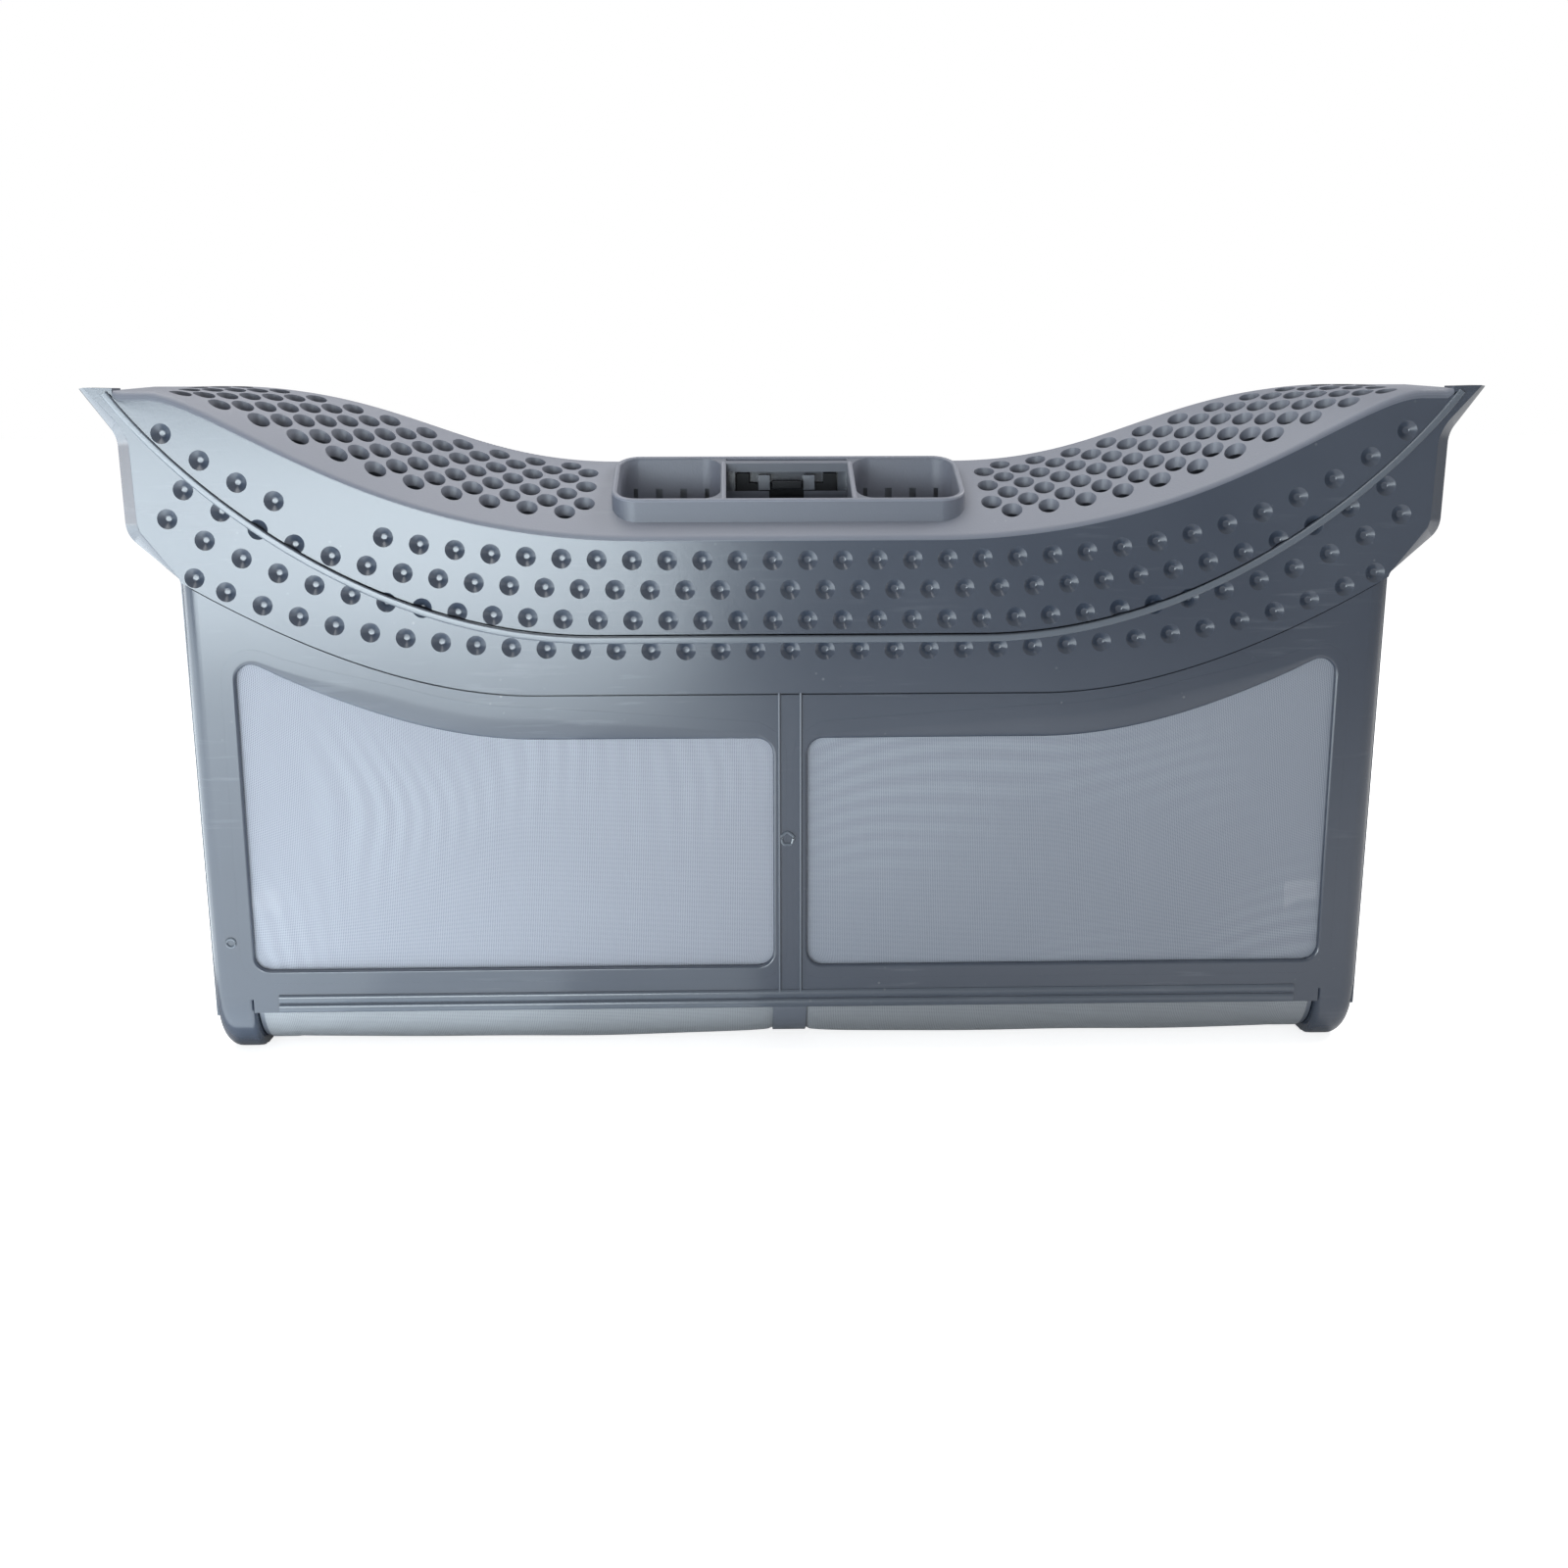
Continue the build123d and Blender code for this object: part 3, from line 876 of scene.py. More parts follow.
@dataclass(frozen=True)
class PlasticFinish:
    """Moulded plastic in one colour, or with painted light mixed in by the tone of its faces."""

    name: str
    colour: Colour
    roughness: float
    grain: float
    rub: float
    dust: float
    painted_light_colour: Colour | None = None
    top_roughness: float = 0.5
    top_grain: float = 1.3
    dull_tone: float = 0.5
    hole_shade: float = 0.95
    gloss: float = 0.8
    index: float = 1.56
    relief: float = 0.25

    def tones(self, graph: Graph, skin: bpy.types.Node) -> None:
        """Mixes the glossy and the dull tone by the value that the faces carry: the dull tone's
        lighter colour is painted light, a little darker in the holes as painted shade.

        Args:
            graph: the material's graph.
            skin: the group node whose inputs are mixed.
        """
        share = graph.add("Attribute", attribute_name="tone").outputs["Fac"]
        lip, crown, hole = Tone.LIP.value, Tone.CROWN.value, Tone.HOLE.value
        # Painted light: the lighter colour by the faces' tone; in the holes it is darkened a little
        # as painted shade
        plain = graph.mix(share, (*self.colour, 1.0), (*self.painted_light_colour, 1.0))
        shaded = tuple(self.hole_shade * part for part in self.painted_light_colour)
        colour = graph.mix(graph.spread(share, (crown, hole)), plain, (*shaded, 1.0))
        dull = graph.spread(share, (lip, self.dull_tone), (self.roughness, self.top_roughness))
        grain = graph.spread(share, (lip, crown), (self.grain, self.top_grain))
        graph.fill(skin, {"Colour": colour, "Roughness": dull, "Grain": grain})

    @cache
    def material(self) -> bpy.types.Material:
        """The finish as a material, made once.

        Returns:
            The material.
        """
        made, graph, shader = new_material(self.name)
        skin = graph.add("Group", node_tree=moulded_skin())
        values = {"Colour": (*self.colour, 1.0), "Roughness": self.roughness, "Grain": self.grain}
        graph.fill(skin, {**values, "Rub": self.rub, "Dust": self.dust})
        if self.painted_light_colour:
            self.tones(graph, skin)
        values = {"Base Color": skin.outputs["Colour"], "Roughness": skin.outputs["Roughness"]}
        values["Normal"] = graph.bump(skin.outputs["Height"], self.relief)
        graph.fill(shader, {**values, "IOR": self.index, "Specular IOR Level": self.gloss})
        return made


@dataclass(frozen=True)
class ClothFinish:
    """Fine filter cloth that lets light and air through."""

    name: str
    colour: Colour
    turn: float
    bands: float
    pitch: float = 0.56 * MM
    opening: float = 0.45
    roughness: float = 0.55
    sheen: float = 0.15
    relief: float = 0.3

    @cache
    def material(self) -> bpy.types.Material:
        """The finish as a material, made once.

        Returns:
            The material.
        """
        made, graph, shader = new_material(self.name)
        net = graph.add("Group", node_tree=woven_net())
        values = {"Colour": (*self.colour, 1.0), "Pitch": self.pitch, "Open": self.opening}
        graph.fill(net, {**values, "Turn": self.turn, "Bands": self.bands})
        values = {"Base Color": net.outputs["Colour"], "Alpha": net.outputs["Cover"]}
        values["Normal"] = graph.bump(net.outputs["Height"], self.relief)
        graph.fill(shader, {**values, "Roughness": self.roughness, "Sheen Weight": self.sheen})
        return made


BLUE_GREY = (0.038, 0.051, 0.078)
# On the case the lighter colour is painted highlight on the seam bead, the gate marks, the ribs and
# the sill ridges
CASE = PlasticFinish(
    "case_plastic_blue_grey", BLUE_GREY, roughness=0.2, grain=0.12, rub=0.16, dust=0.25,
    painted_light_colour=(0.11, 0.13, 0.16), top_roughness=0.22, top_grain=0.3,
)
# On the cover the lighter colour is painted light on the crown, the pockets and the rim, with part
# of it on the tub's walls and a little less in the holes
COVER = PlasticFinish(
    "cover_plastic_blue_grey", BLUE_GREY, roughness=0.2, grain=0.3, rub=0.16, dust=0.2,
    painted_light_colour=(0.195, 0.208, 0.255),
)
REAR = PlasticFinish(
    "rear_plastic_grey", (0.13, 0.145, 0.18), roughness=0.38, grain=0.8, rub=0.16, dust=0.2,
)
SLIDER = PlasticFinish(
    "latch_plastic_black", (0.005, 0.006, 0.008), roughness=0.4, grain=0.5, rub=0.1, dust=0.1,
    gloss=0.2,
)
# One cloth in lit and shaded copies: the left is lighter as painted light, the right darker as
# painted shade
NET_LIT_LEFT = ClothFinish("filter_cloth_lit_left", (0.385, 0.405, 0.47), turn=0.12, bands=0.14)
NET_SHADED_RIGHT = ClothFinish("filter_cloth_shaded_right", (0.325, 0.35, 0.41), turn=1.45, bands=0.1)
NET_ROLL = ClothFinish("filter_cloth_roll", (0.35, 0.365, 0.39), turn=1.3, bands=0.05)


@dataclass
class Dimples:
    """Round dents with sloping sides and a flat bottom, in rows that rise towards the wings.

    Sizes are in mm and degrees. last_shift moves the lowest row's outermost dents inwards.
    """

    radius: float = 3.1
    slope: float = 39.0
    flat: float = 0.7
    bend: float = 0.8
    flank: float = 2.1
    past_face: float = 0.9
    sides: int = 22
    pitch: float = 10.85
    rows: tuple[float, ...] = (162.4, 153.3, 143.8, 134.4)
    lift: tuple[float, ...] = (39.0, 35.0, 32.0, 27.0)
    lift_x: float = 190.0
    power: float = 3.9
    reach: float = 191.0
    last_x: float = 183.0
    last_shift: float = 1.5
    past_seam: float = 3.4
    bare: Point = (-152.0, -128.0)
    bare_above: float = 168.0

    def centres(self) -> list[Point]:
        """Places of the dents, in mm, without those of the bare patch at the left.

        Returns:
            Place across the filter and height of each dent.
        """
        places: list[Point] = []
        for row, level in enumerate(self.rows):
            start = self.pitch / 2 * ((row + 1) % 2)
            for step in range(int((self.reach - start) / self.pitch) + 1):
                x = start + step * self.pitch
                if row == len(self.rows) - 1 and x > self.last_x:
                    x -= self.last_shift
                z = level + self.lift[row] * (x / self.lift_x) ** self.power
                places += [(x, z)] if x == 0 else [(x, z), (-x, z)]
        left, right = self.bare
        return [(x, z) for x, z in places if not (left < x < right and z > self.bare_above)]

    def section(self) -> list[Point]:
        """Reach and depth of a dent, from its flat bottom out past the face, in mm.

        Returns:
            Points of the section.
        """
        steep = math.radians(self.slope)
        rise = math.tan(steep)
        foot = self.flat + self.bend * math.sin(steep)
        deep = SIZES.band_face + (self.radius - foot) * rise + self.bend * (1 - math.cos(steep))
        line = []
        for k in range(5):
            a = steep * k / 4
            line.append((self.flat + self.bend * math.sin(a), deep - self.bend * (1 - math.cos(a))))
        ends = (self.flank, self.radius + self.past_face)
        return line + [(r, SIZES.band_face + (self.radius - r) * rise) for r in ends]

    def tools(self, above: bool) -> bpy.types.Object:
        """Round cutters for the dents on one side of the seam.

        Args:
            above: whether they are those of the cover's lip.

        Returns:
            One object with all the cutters.
        """
        section = self.section()
        bm = bmesh.new()
        for x, z in self.centres():
            over = z - SIZES.seam.height(x)
            if (over if above else -over) < -self.past_seam:
                continue
            deepest = bm.verts.new(Vector((x, section[0][1], z)) * MM)
            # Turned a little differently at each place, so that no points of two cutters line up
            turns = round_turns(self.sides, 0.031 * x + 0.07)
            made = [
                [bm.verts.new(Vector((a, y, b)) * MM) for a, b in circle((x, z), reach, turns)]
                for reach, y in section
            ]
            for s in range(self.sides):
                t = (s + 1) % self.sides
                bm.faces.new((deepest, made[0][s], made[0][t]))
                for near, far in zip(made, made[1:]):
                    bm.faces.new((near[s], far[s], far[t], near[t]))
            bm.faces.new(made[-1])
        bmesh.ops.recalc_face_normals(bm, faces=bm.faces)
        return from_bmesh("dent_tools", bm)


@dataclass(frozen=True)
class GateMark:
    """Raised ring left where the mould was filled."""

    x: float
    z: float
    reach: float
    ripple: float
    thick: float
    ripples: int = 5
    points: int = 24
    sides: int = 8
    proud: float = 0.05

    def ring(self, face: float) -> bpy.types.Object:
        """The ring, half sunk in the face at a depth in mm.

        Args:
            face: depth of the face, in mm.

        Returns:
            The new object.
        """
        path = []
        for a in round_turns(self.points):
            reach = self.reach + self.ripple * math.sin(self.ripples * a)
            ((x, z),) = circle((self.x, self.z), reach, [a])
            path.append(Vector((x, face - self.proud, z)))
        return tube("gate_mark", path, self.thick, self.sides)


@dataclass
class FrontPanel:
    """Front of the case: window frame, dimpled band, seam bead, ribs, side walls and end lobes.

    Sizes are in mm. A bead, rib or ridge has a width and a height, and the pin a radius and a
    length. chamfer_tip and chamfer_waist are a level and the length over which the ear's chamfer
    changes, and chamfer_loss is the share that it loses at each. groove_over holds the upper
    sides of the groove and of the plate behind it. window_round is the narrow and the wide lip,
    and lip_depth the narrow lip's depth and what the wide one adds.
    """

    side_radius: float = 5.2
    ear_chamfer: Point = (4.6, 4.6)
    chamfer_tip: Point = (196.0, 20.0)
    chamfer_waist: Point = (156.0, 15.0)
    chamfer_loss: Point = (0.67, 0.75)
    widen: float = 0.7
    side_wall: float = 2.0
    plate_back: float = -13.0
    plate_foot: float = 6.0
    band_back: float = -15.5
    band_foot: float = 100.0
    wall_front: float = -18.0
    wall_foot: float = 14.0
    wall_drop: float = 3.0
    hollow_foot: float = -6.0
    groove_over: Point = (0.2, 0.6)
    groove_under: float = 0.9
    groove_depth: float = 1.3
    window_x: float = 173.4
    window_corner: float = 5.0
    window_clear: float = 12.0
    window_round: Point = (0.9, 7.2)
    lip_depth: Point = (0.8, 1.1)
    lip_cut: float = 1.2
    lip_ledge: Point = (3.4, 3.6)
    lip_proud: float = 0.03
    bead: Point = (2.3, 0.7)
    bead_end: float = 2.4
    rib: Point = (1.0, 0.7)
    bar_rib_x: float = 3.4
    ridge: Point = (2.8, 0.75)
    sill_ridges: Point = (17.6, 20.7)
    sill_x: float = 166.2
    sunk: float = 0.8
    lobe_radius: float = 23.0
    lobe_width: float = 12.4
    lobe_corner: float = 6.0
    lobe_span: Point = (174.5, 200.0)
    pin: Point = (4.0, 5.0)
    tip_top: tuple[Point, ...] = ((203.0, 214.7), (211.5, 214.9), (214.4, 214.6), (218.0, 212.6))
    gates: tuple[GateMark, ...] = (
        GateMark(-0.9, 73.0, 2.0, 0.16, 0.55),
        GateMark(-180.5, 39.9, 1.4, 0.0, 0.45),
    )
    dimples: Dimples = field(default_factory=Dimples)

    def window(self, side: Side) -> list[Point]:
        """Outline of one window.

        Args:
            side: which window.

        Returns:
            Points of the outline, counter-clockwise, in mm.
        """
        inner, outer, low = SIZES.centre_bar, self.window_x, SIZES.window_sill
        drop, radius, clear = SIZES.window_drop, self.window_corner, self.window_clear
        corners = [(inner, low, radius), (outer, low, radius)]
        corners.append((outer, SIZES.band.height(outer) - drop, radius))
        for x, z in reversed(SIZES.band.points(drop)):
            if inner + clear < x < outer - clear:
                corners.append((x, z, 0.0))
        corners.append((inner, SIZES.band.trough - drop, radius))
        path = rounded_path([(x * side.value, z, r) for x, z, r in corners])
        return path if side is Side.RIGHT else list(reversed(path))

    def below_band(self, lift: float = 0.0) -> bpy.types.Object:
        """Block under the band's lower edge, used as a tool.

        Args:
            lift: distance that its upper side is raised by, in mm.

        Returns:
            The tool, in metres.
        """
        end = SIZES.band.end[0]
        path = SIZES.band.points(-lift) + [(end, BAND_TOOL_FOOT), (-end, BAND_TOOL_FOOT)]
        return slab("under_band", path, *TOOL_DEPTH)

    def above_seam(self) -> bpy.types.Object:
        """Block over the seam line, used as a tool.

        Returns:
            The tool, in metres.
        """
        path = [(x, z) for x, z in SIZES.seam.points() if abs(x) < SIZES.cover_end]
        path += [(path[-1][0], TOOL_TOP), (path[0][0], TOOL_TOP)]
        return slab("over_seam", path, *TOOL_DEPTH)

    def inside(self) -> bpy.types.Object:
        """Hollow of the case behind its front, used as a tool."""
        outline = SIZES.outline(self.hollow_foot, False, self.side_wall)
        return slab("hollow", outline, SIZES.frame_back, TOOL_DEPTH[1])

    def frame_plate(self) -> bpy.types.Object:
        """Window frame with rounded sides.

        Returns:
            The new object.
        """
        outline = SIZES.outline(self.plate_foot, False)
        edge = round_edge(self.side_radius, self.widen)
        plate = slab("plate", outline, SIZES.frame_face, self.plate_back, edge)
        cut(plate, self.below_band(self.groove_over[1]), Cut.KEEP)
        cut(plate, self.inside())
        inner, outer = self.lobe_span
        sill = inner + 0.1
        cut(plate, box("sill_cut", (-sill, sill), TOOL_DEPTH, (TOOL_FOOT, SIZES.sill)))
        for side in Side:
            low, high = sorted((inner * side.value, outer * side.value))
            cut(plate, box("lobe_cut", (low, high), TOOL_DEPTH, (TOOL_FOOT, SIZES.hinge[1])))
        groove = SIZES.band.points(-self.groove_over[0])
        groove += reversed(SIZES.band.points(self.groove_under))
        cut(plate, slab("groove", groove, TOOL_DEPTH[0], SIZES.frame_face + self.groove_depth))
        for side in Side:
            cut(plate, slab("opening", self.lip_line(side), TOOL_DEPTH[0], 0.0))
        return plate

    def lip_reach(self, x: float, normal: Vector) -> Point:
        """Width and depth of a window's rounded lip.

        Args:
            x: place across the filter, in mm.
            normal: normal of the window's outline there.

        Returns:
            The lip's width and depth, in mm.
        """
        upward = clamp((normal.y + 0.15) / 0.9)
        off_bar = clamp((abs(x) - SIZES.centre_bar - 2.0) / 10.0)
        off_side = clamp((self.window_x + 4.0 - abs(x)) / 55.0)
        share = ease(upward * off_bar * off_side)
        narrow, wide = self.window_round
        return narrow + share * (wide - narrow), self.lip_depth[0] + self.lip_depth[1] * share

    def lip_line(self, side: Side) -> list[Point]:
        """Outline just past the rounded lip of one window, in mm.

        Args:
            side: which window.

        Returns:
            Points of the outline.
        """
        path = self.window(side)
        line: list[Point] = []
        for i, (x, z) in enumerate(path):
            last, after = neighbours(path, i, True)
            along = (Vector(after) - Vector(last)).normalized()
            normal = Vector((along.y, -along.x))
            reach = self.lip_reach(x, normal)[0] + self.lip_cut
            line.append((x + normal.x * reach, z + normal.y * reach))
        return line

    def window_surround(self, side: Side) -> bpy.types.Object:
        """Rounded lip of one window, wide along its top and narrow on the other sides.

        Args:
            side: which window.

        Returns:
            The new object.
        """
        back = SIZES.frame_back - SIZES.cloth - 0.05
        face = SIZES.frame_face - self.lip_proud
        path = self.window(side)

        def section(number: int, normal: Vector) -> list[Point]:
            """Section of the lip at one point of the outline.

            Args:
                number: number of the point.
                normal: the outline's normal there.

            Returns:
                Distances along the normal and depths, in mm.
            """
            reach, drop = self.lip_reach(path[number][0], normal)
            points = [(0.0, back)]
            for k in range(11):
                a = math.pi / 2 * k / 10
                points.append((reach * (1 - math.cos(a)), face + drop * (1 - math.sin(a))))
            flat, end = (reach + ledge for ledge in self.lip_ledge)
            return points + [(flat, face), (end, SIZES.frame_face + 0.2), (end, back)]

        return sweep("surround", path, section, closed=True)

    def band_plate(self) -> bpy.types.Object:
        """Raised band with its ears and flared tips, cut by the dents.

        Returns:
            The new object.
        """
        wide, deep = self.ear_chamfer
        out = -self.widen
        edge = [(wide, 0.0), (wide - 0.25, 0.06), (wide - 0.5, 0.3)]
        edge += [(out + 0.5, deep - 0.4), (out + 0.12, deep), (out, deep + 0.8)]
        outline = SIZES.outline(self.band_foot, True)
        plate = slab("band", outline, SIZES.band_face, self.band_back, edge, self.chamfer_share)
        in_triangles(plate)
        cut(plate, self.below_band())
        cut(plate, self.inside())
        cut(plate, self.above_seam())
        cut(plate, box("top_cut", TOOL_SIDES, TOP_TOOL_DEPTH, (SIZES.height, TOOL_TOP)))
        slope = [*self.tip_top, (TOOL_SIDES[1], TOOL_TOP), (self.tip_top[0][0], TOOL_TOP)]
        for side in Side:
            path = [(x * side.value, z) for x, z in slope]
            cut(plate, slab("tip_slope", path, *TOP_TOOL_DEPTH))
        cut(plate, self.dimples.tools(above=False))
        return plate

    def chamfer_share(self, z: float) -> float:
        """Share of the ear's chamfer at a level: less towards the tip and the waist.

        Args:
            z: the level, in mm.

        Returns:
            The share, from 0 to 1.
        """
        tip = clamp((z - self.chamfer_tip[0]) / self.chamfer_tip[1])
        waist = clamp((z - self.chamfer_waist[0]) / self.chamfer_waist[1])
        at_tip, at_waist = self.chamfer_loss
        return (1 - at_tip * tip) * (1 - at_waist + at_waist * waist)

    def walls(self) -> bpy.types.Object:
        """Side walls behind the front.

        Returns:
            The new object.
        """
        outer = SIZES.outline(self.wall_foot, False, 0.04 - self.widen)
        inner = SIZES.outline(self.wall_foot, False, self.side_wall)
        half = len(outer) // 2
        sides = []
        for pick in (slice(0, half), slice(half, None)):
            ring = outer[pick] + list(reversed(inner[pick]))
            sides.append(slab("wall", ring, self.wall_front, SIZES.wall_end))
        wall = joined("walls", sides)
        top = (SIZES.height - self.wall_drop, TOOL_TOP)
        cut(wall, box("wall_top", TOOL_SIDES, TOP_TOOL_DEPTH, top))
        return cut(wall, self.above_seam())

    def half_round(self, width: float, proud: float) -> Callable[[int, Vector], list[Point]]:
        """Section of a half-round bar on the window frame.

        Args:
            width: its full width, in mm.
            proud: how far it stands out, in mm.

        Returns:
            A section for sweep.
        """
        face, half = SIZES.frame_face, width / 2
        turns = [math.pi * k / 10 for k in range(11)]
        arc = [(-half * math.cos(a), face - proud * math.sin(a)) for a in turns]
        section = arc + [(half, face + self.sunk), (-half, face + self.sunk)]
        return lambda _number, _normal: section

    def trim(self) -> list[bpy.types.Object]:
        """Seam bead, ribs of the centre bar and sill, and the two moulding gate marks, all with
        painted highlight.

        Returns:
            The new objects.
        """
        # Painted highlight: the bead and the gate marks get the finish's lighter colour, the ribs
        # and the sill ridges part of it
        half, proud = self.bead[0] / 2, self.bead[1]
        line = [p for p in SIZES.seam.points(half + 0.1, 60) if p[1] < SIZES.height - self.bead_end]
        section = [(-half, self.sunk), (-half, 0.0), (-half + 0.12, -0.6 * proud)]
        section += [(-half + 0.38, -0.95 * proud), (-half + 0.6, -proud)]
        section += [(-s, d) for s, d in reversed(section)]
        section = [(s, SIZES.band_face + d) for s, d in section]
        parts = [toned(sweep("bead", line, lambda _number, _normal: section), Tone.CROWN)]
        for x in (-self.bar_rib_x, self.bar_rib_x):
            path = [(x, self.sill_ridges[1]), (x, SIZES.band.trough + 0.5)]
            parts.append(toned(sweep("bar_rib", path, self.half_round(*self.rib)), Tone.TUB))
        for z in self.sill_ridges:
            path = [(-self.sill_x, z), (self.sill_x, z)]
            parts.append(toned(sweep("sill_ridge", path, self.half_round(*self.ridge)), Tone.TUB))
        return parts + [toned(mark.ring(SIZES.frame_face), Tone.CROWN) for mark in self.gates]

    def lobe(self, side: Side) -> bpy.types.Object:
        """End lobe with its hinge pin.

        Args:
            side: which end.

        Returns:
            The new object.
        """
        outer, inner = SIZES.foot_x + self.widen, SIZES.foot_x - self.lobe_width
        inner_edge = ((0.0, 2.0), (0.15, 1.25), (0.6, 0.6), (1.25, 0.15), (2.0, 0.0))
        outer_edge = round_edge(self.side_radius, self.widen, 12)
        stations = [(inner + d, less) for d, less in inner_edge]
        stations += [(SIZES.foot_x - d, less) for d, less in outer_edge]
        rings = []
        for x, less in stations:
            beyond = max(x - (outer - self.lobe_corner), 0.0)
            floor = self.lobe_corner - math.sqrt(max(self.lobe_corner**2 - beyond**2, 0.0))
            ring = circle(SIZES.hinge, self.lobe_radius - less, round_turns(72))
            rings.append([Vector((x * side.value, y, max(z, floor))) for y, z in ring])
        body = from_rings("lobe", rings)
        radius, length = self.pin
        rings = []
        for x, less in ((inner + 0.5, 0.0), (inner - length + 0.5, 0.0), (inner - length, 0.5)):
            ring = circle(SIZES.hinge, radius - less, round_turns(32))
            rings.append([Vector((x * side.value, y, z)) for y, z in ring])
        return joined("lobe_pin", [body, from_rings("pin", rings)])

    def build(self) -> bpy.types.Object:
        """Builds and dresses the panel.

        Returns:
            The new object.
        """
        parts = [toned(self.frame_plate(), Tone.LIP), self.band_plate(), self.walls()]
        parts += [self.window_surround(side) for side in Side]
        parts += [self.lobe(side) for side in Side]
        parts += self.trim()
        panel = joined("front_panel_shell", parts)
        panel.data.materials.append(CASE.material())
        smooth(panel)
        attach(panel, "front_half")
        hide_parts("front_panel")
        return panel


@dataclass
class HandleTub:
    """Tub in the cover: two finger pockets, the latch compartment and the latch's channel."""

    half: float = 55.5
    y: Point = (-17.2, 17.9)
    wall: float = 1.6
    corner: float = 8.0
    floor: float = 159.0
    rim: Point = (180.3, 192.2)
    partition: float = 20.5
    latch_wall: float = 12.3
    channel: Point = (13.9, 17.0)
    channel_x: float = 16.8
    channel_floor: float = 170.7
    shelf: float = 1.7
    bridge: Point = (187.5, 191.0)
    window_x: float = 19.4
    window_sill: float = 181.4
    pad_notch: Point = (5.6, 178.9)
    throat_lip: float = 2.3
    throat_top: float = 183.6
    drains: int = 4
    drain_z: Point = (177.5, 182.0)
    drain_width: float = 2.1
    drain_pitch: float = 8.0
    top: float = 196.0
    bar_drop: float = 0.45

    def round_box(self, inset: float) -> list[Point]:
        """The tub's outline in the level plane, moved inwards, in mm."""
        (near, far), end = self.y, self.half - inset
        return self.rounded((-end, end), (near + inset, far - inset), self.corner - inset)

    def rounded(self, x: Point, y: Point, radius: float) -> list[Point]:
        """Rounded rectangle in the level plane, in mm."""
        return rounded_path([(a, b, radius) for a, b in rectangle(x, y)], 10)

    def rim_height(self, y: float) -> float:
        """Height of the sloping rim at a depth, in mm."""
        return self.rim[0] + (y - self.y[0]) / (self.y[1] - self.y[0]) * (self.rim[1] - self.rim[0])

    def opening(self) -> bpy.types.Object:
        """Place of the tub in the crown, used as a tool."""
        return level_prism("tub_opening", self.round_box(0.4), TUB_TOOL_FOOT, TUB_TOOL_TOP)

    def slope_tool(self) -> bpy.types.Object:
        """Block over the sloping rim, used as a tool.

        Returns:
            The tool, in metres.
        """
        low, high = self.y[0] - 10, self.y[1] + 10
        section = [(low, self.rim_height(low)), (high, self.rim_height(high))]
        section += [(high, TUB_TOOL_TOP), (low, TUB_TOOL_TOP)]
        rings = [[Vector((x, y, z)) for y, z in section] for x in (-80.0, 80.0)]
        return from_rings("rim_slope", rings)

    def build(self) -> bpy.types.Object:
        """Builds the tub as one undressed object.

        Returns:
            The new object.
        """
        outer = self.round_box(0.0)
        # Painted light: the tub's walls get part of the lighter colour, the pockets all of it
        tub = toned(level_prism("tub", outer, self.floor - self.wall, self.top), Tone.TUB)
        near, far = self.y[0] + self.wall, self.y[1] - self.wall
        inner, end = self.partition + self.wall / 2, self.half - self.wall
        for side in Side:
            low, high = sorted((inner * side.value, end * side.value))
            path = self.rounded((low, high), (near, far), self.corner - self.wall)
            cut(tub, toned(level_prism("pocket", path, self.floor, TUB_TOOL_TOP), Tone.CROWN))
        middle = self.partition - self.wall / 2
        across = (-middle, middle)
        space = box("latch_space", across, (near, self.latch_wall), (self.floor, TUB_TOOL_TOP))
        cut(tub, toned(space, Tone.TUB))
        cut(tub, toned(self.slope_tool(), Tone.TUB))
        over = (self.bridge[1], TUB_TOOL_TOP)
        above = box("bridge_top", across, (self.latch_wall, TUB_TOOL_BACK), over)
        cut(tub, toned(above, Tone.TUB))
        self.latch_cuts(tub, across)
        first = (inner + end - (self.drains - 1) * self.drain_pitch) / 2
        for side in Side:
            for number in range(self.drains):
                x = side.value * (first + number * self.drain_pitch)
                span = (x - self.drain_width / 2, x + self.drain_width / 2)
                cut(tub, box("drain", span, (far - 0.5, TUB_TOOL_BACK), self.drain_z))
        return joined("tub_with_rim", [tub, *self.rim_bars()])

    def latch_cuts(self, tub: bpy.types.Object, across: Point) -> None:
        """Cuts the latch's window, its channel and the space under it.

        Args:
            tub: the tub that is cut.
            across: limits of the latch compartment, in mm.
        """
        sill, (notch, low), bottom = self.window_sill, self.pad_notch, self.channel_floor
        lintel = self.bridge[0]
        through = (self.latch_wall - 1, self.channel[0] + 0.1)
        cut(tub, box("latch_window", (-self.window_x, self.window_x), through, (sill, lintel)))
        cut(tub, box("pad_notch", (-notch, notch), through, (low, lintel)))
        end = self.channel_x
        cut(tub, box("slide", (-end, end), self.channel, (bottom, lintel)))
        end -= self.throat_lip
        back = (self.channel[1] - 0.1, TUB_TOOL_BACK)
        cut(tub, box("throat", (-end, end), back, (bottom, self.throat_top)))
        under = (self.floor - 10, bottom - self.shelf)
        cut(tub, box("under_channel", across, (self.channel[0], TUB_TOOL_BACK), under))

    def rim_bars(self) -> list[bpy.types.Object]:
        """Rounded edges of the rim and of the two partitions, with painted highlight.

        Returns:
            The new objects.
        """
        half = self.wall / 2
        path = self.round_box(half)
        ring = [Vector((x, y, self.rim_height(y) - self.bar_drop)) for x, y in path]
        # Painted highlight: the bars take the lighter colour
        bars = [toned(tube("rim_bar", ring, half + 0.06), Tone.CROWN)]
        for x in (-self.partition, self.partition):
            ends = (self.y[0] + half, self.latch_wall + half)
            line = [Vector((x, y, self.rim_height(y) - self.bar_drop)) for y in ends]
            bars.append(toned(tube("partition_bar", line, half + 0.04, loop=False), Tone.CROWN))
        return bars


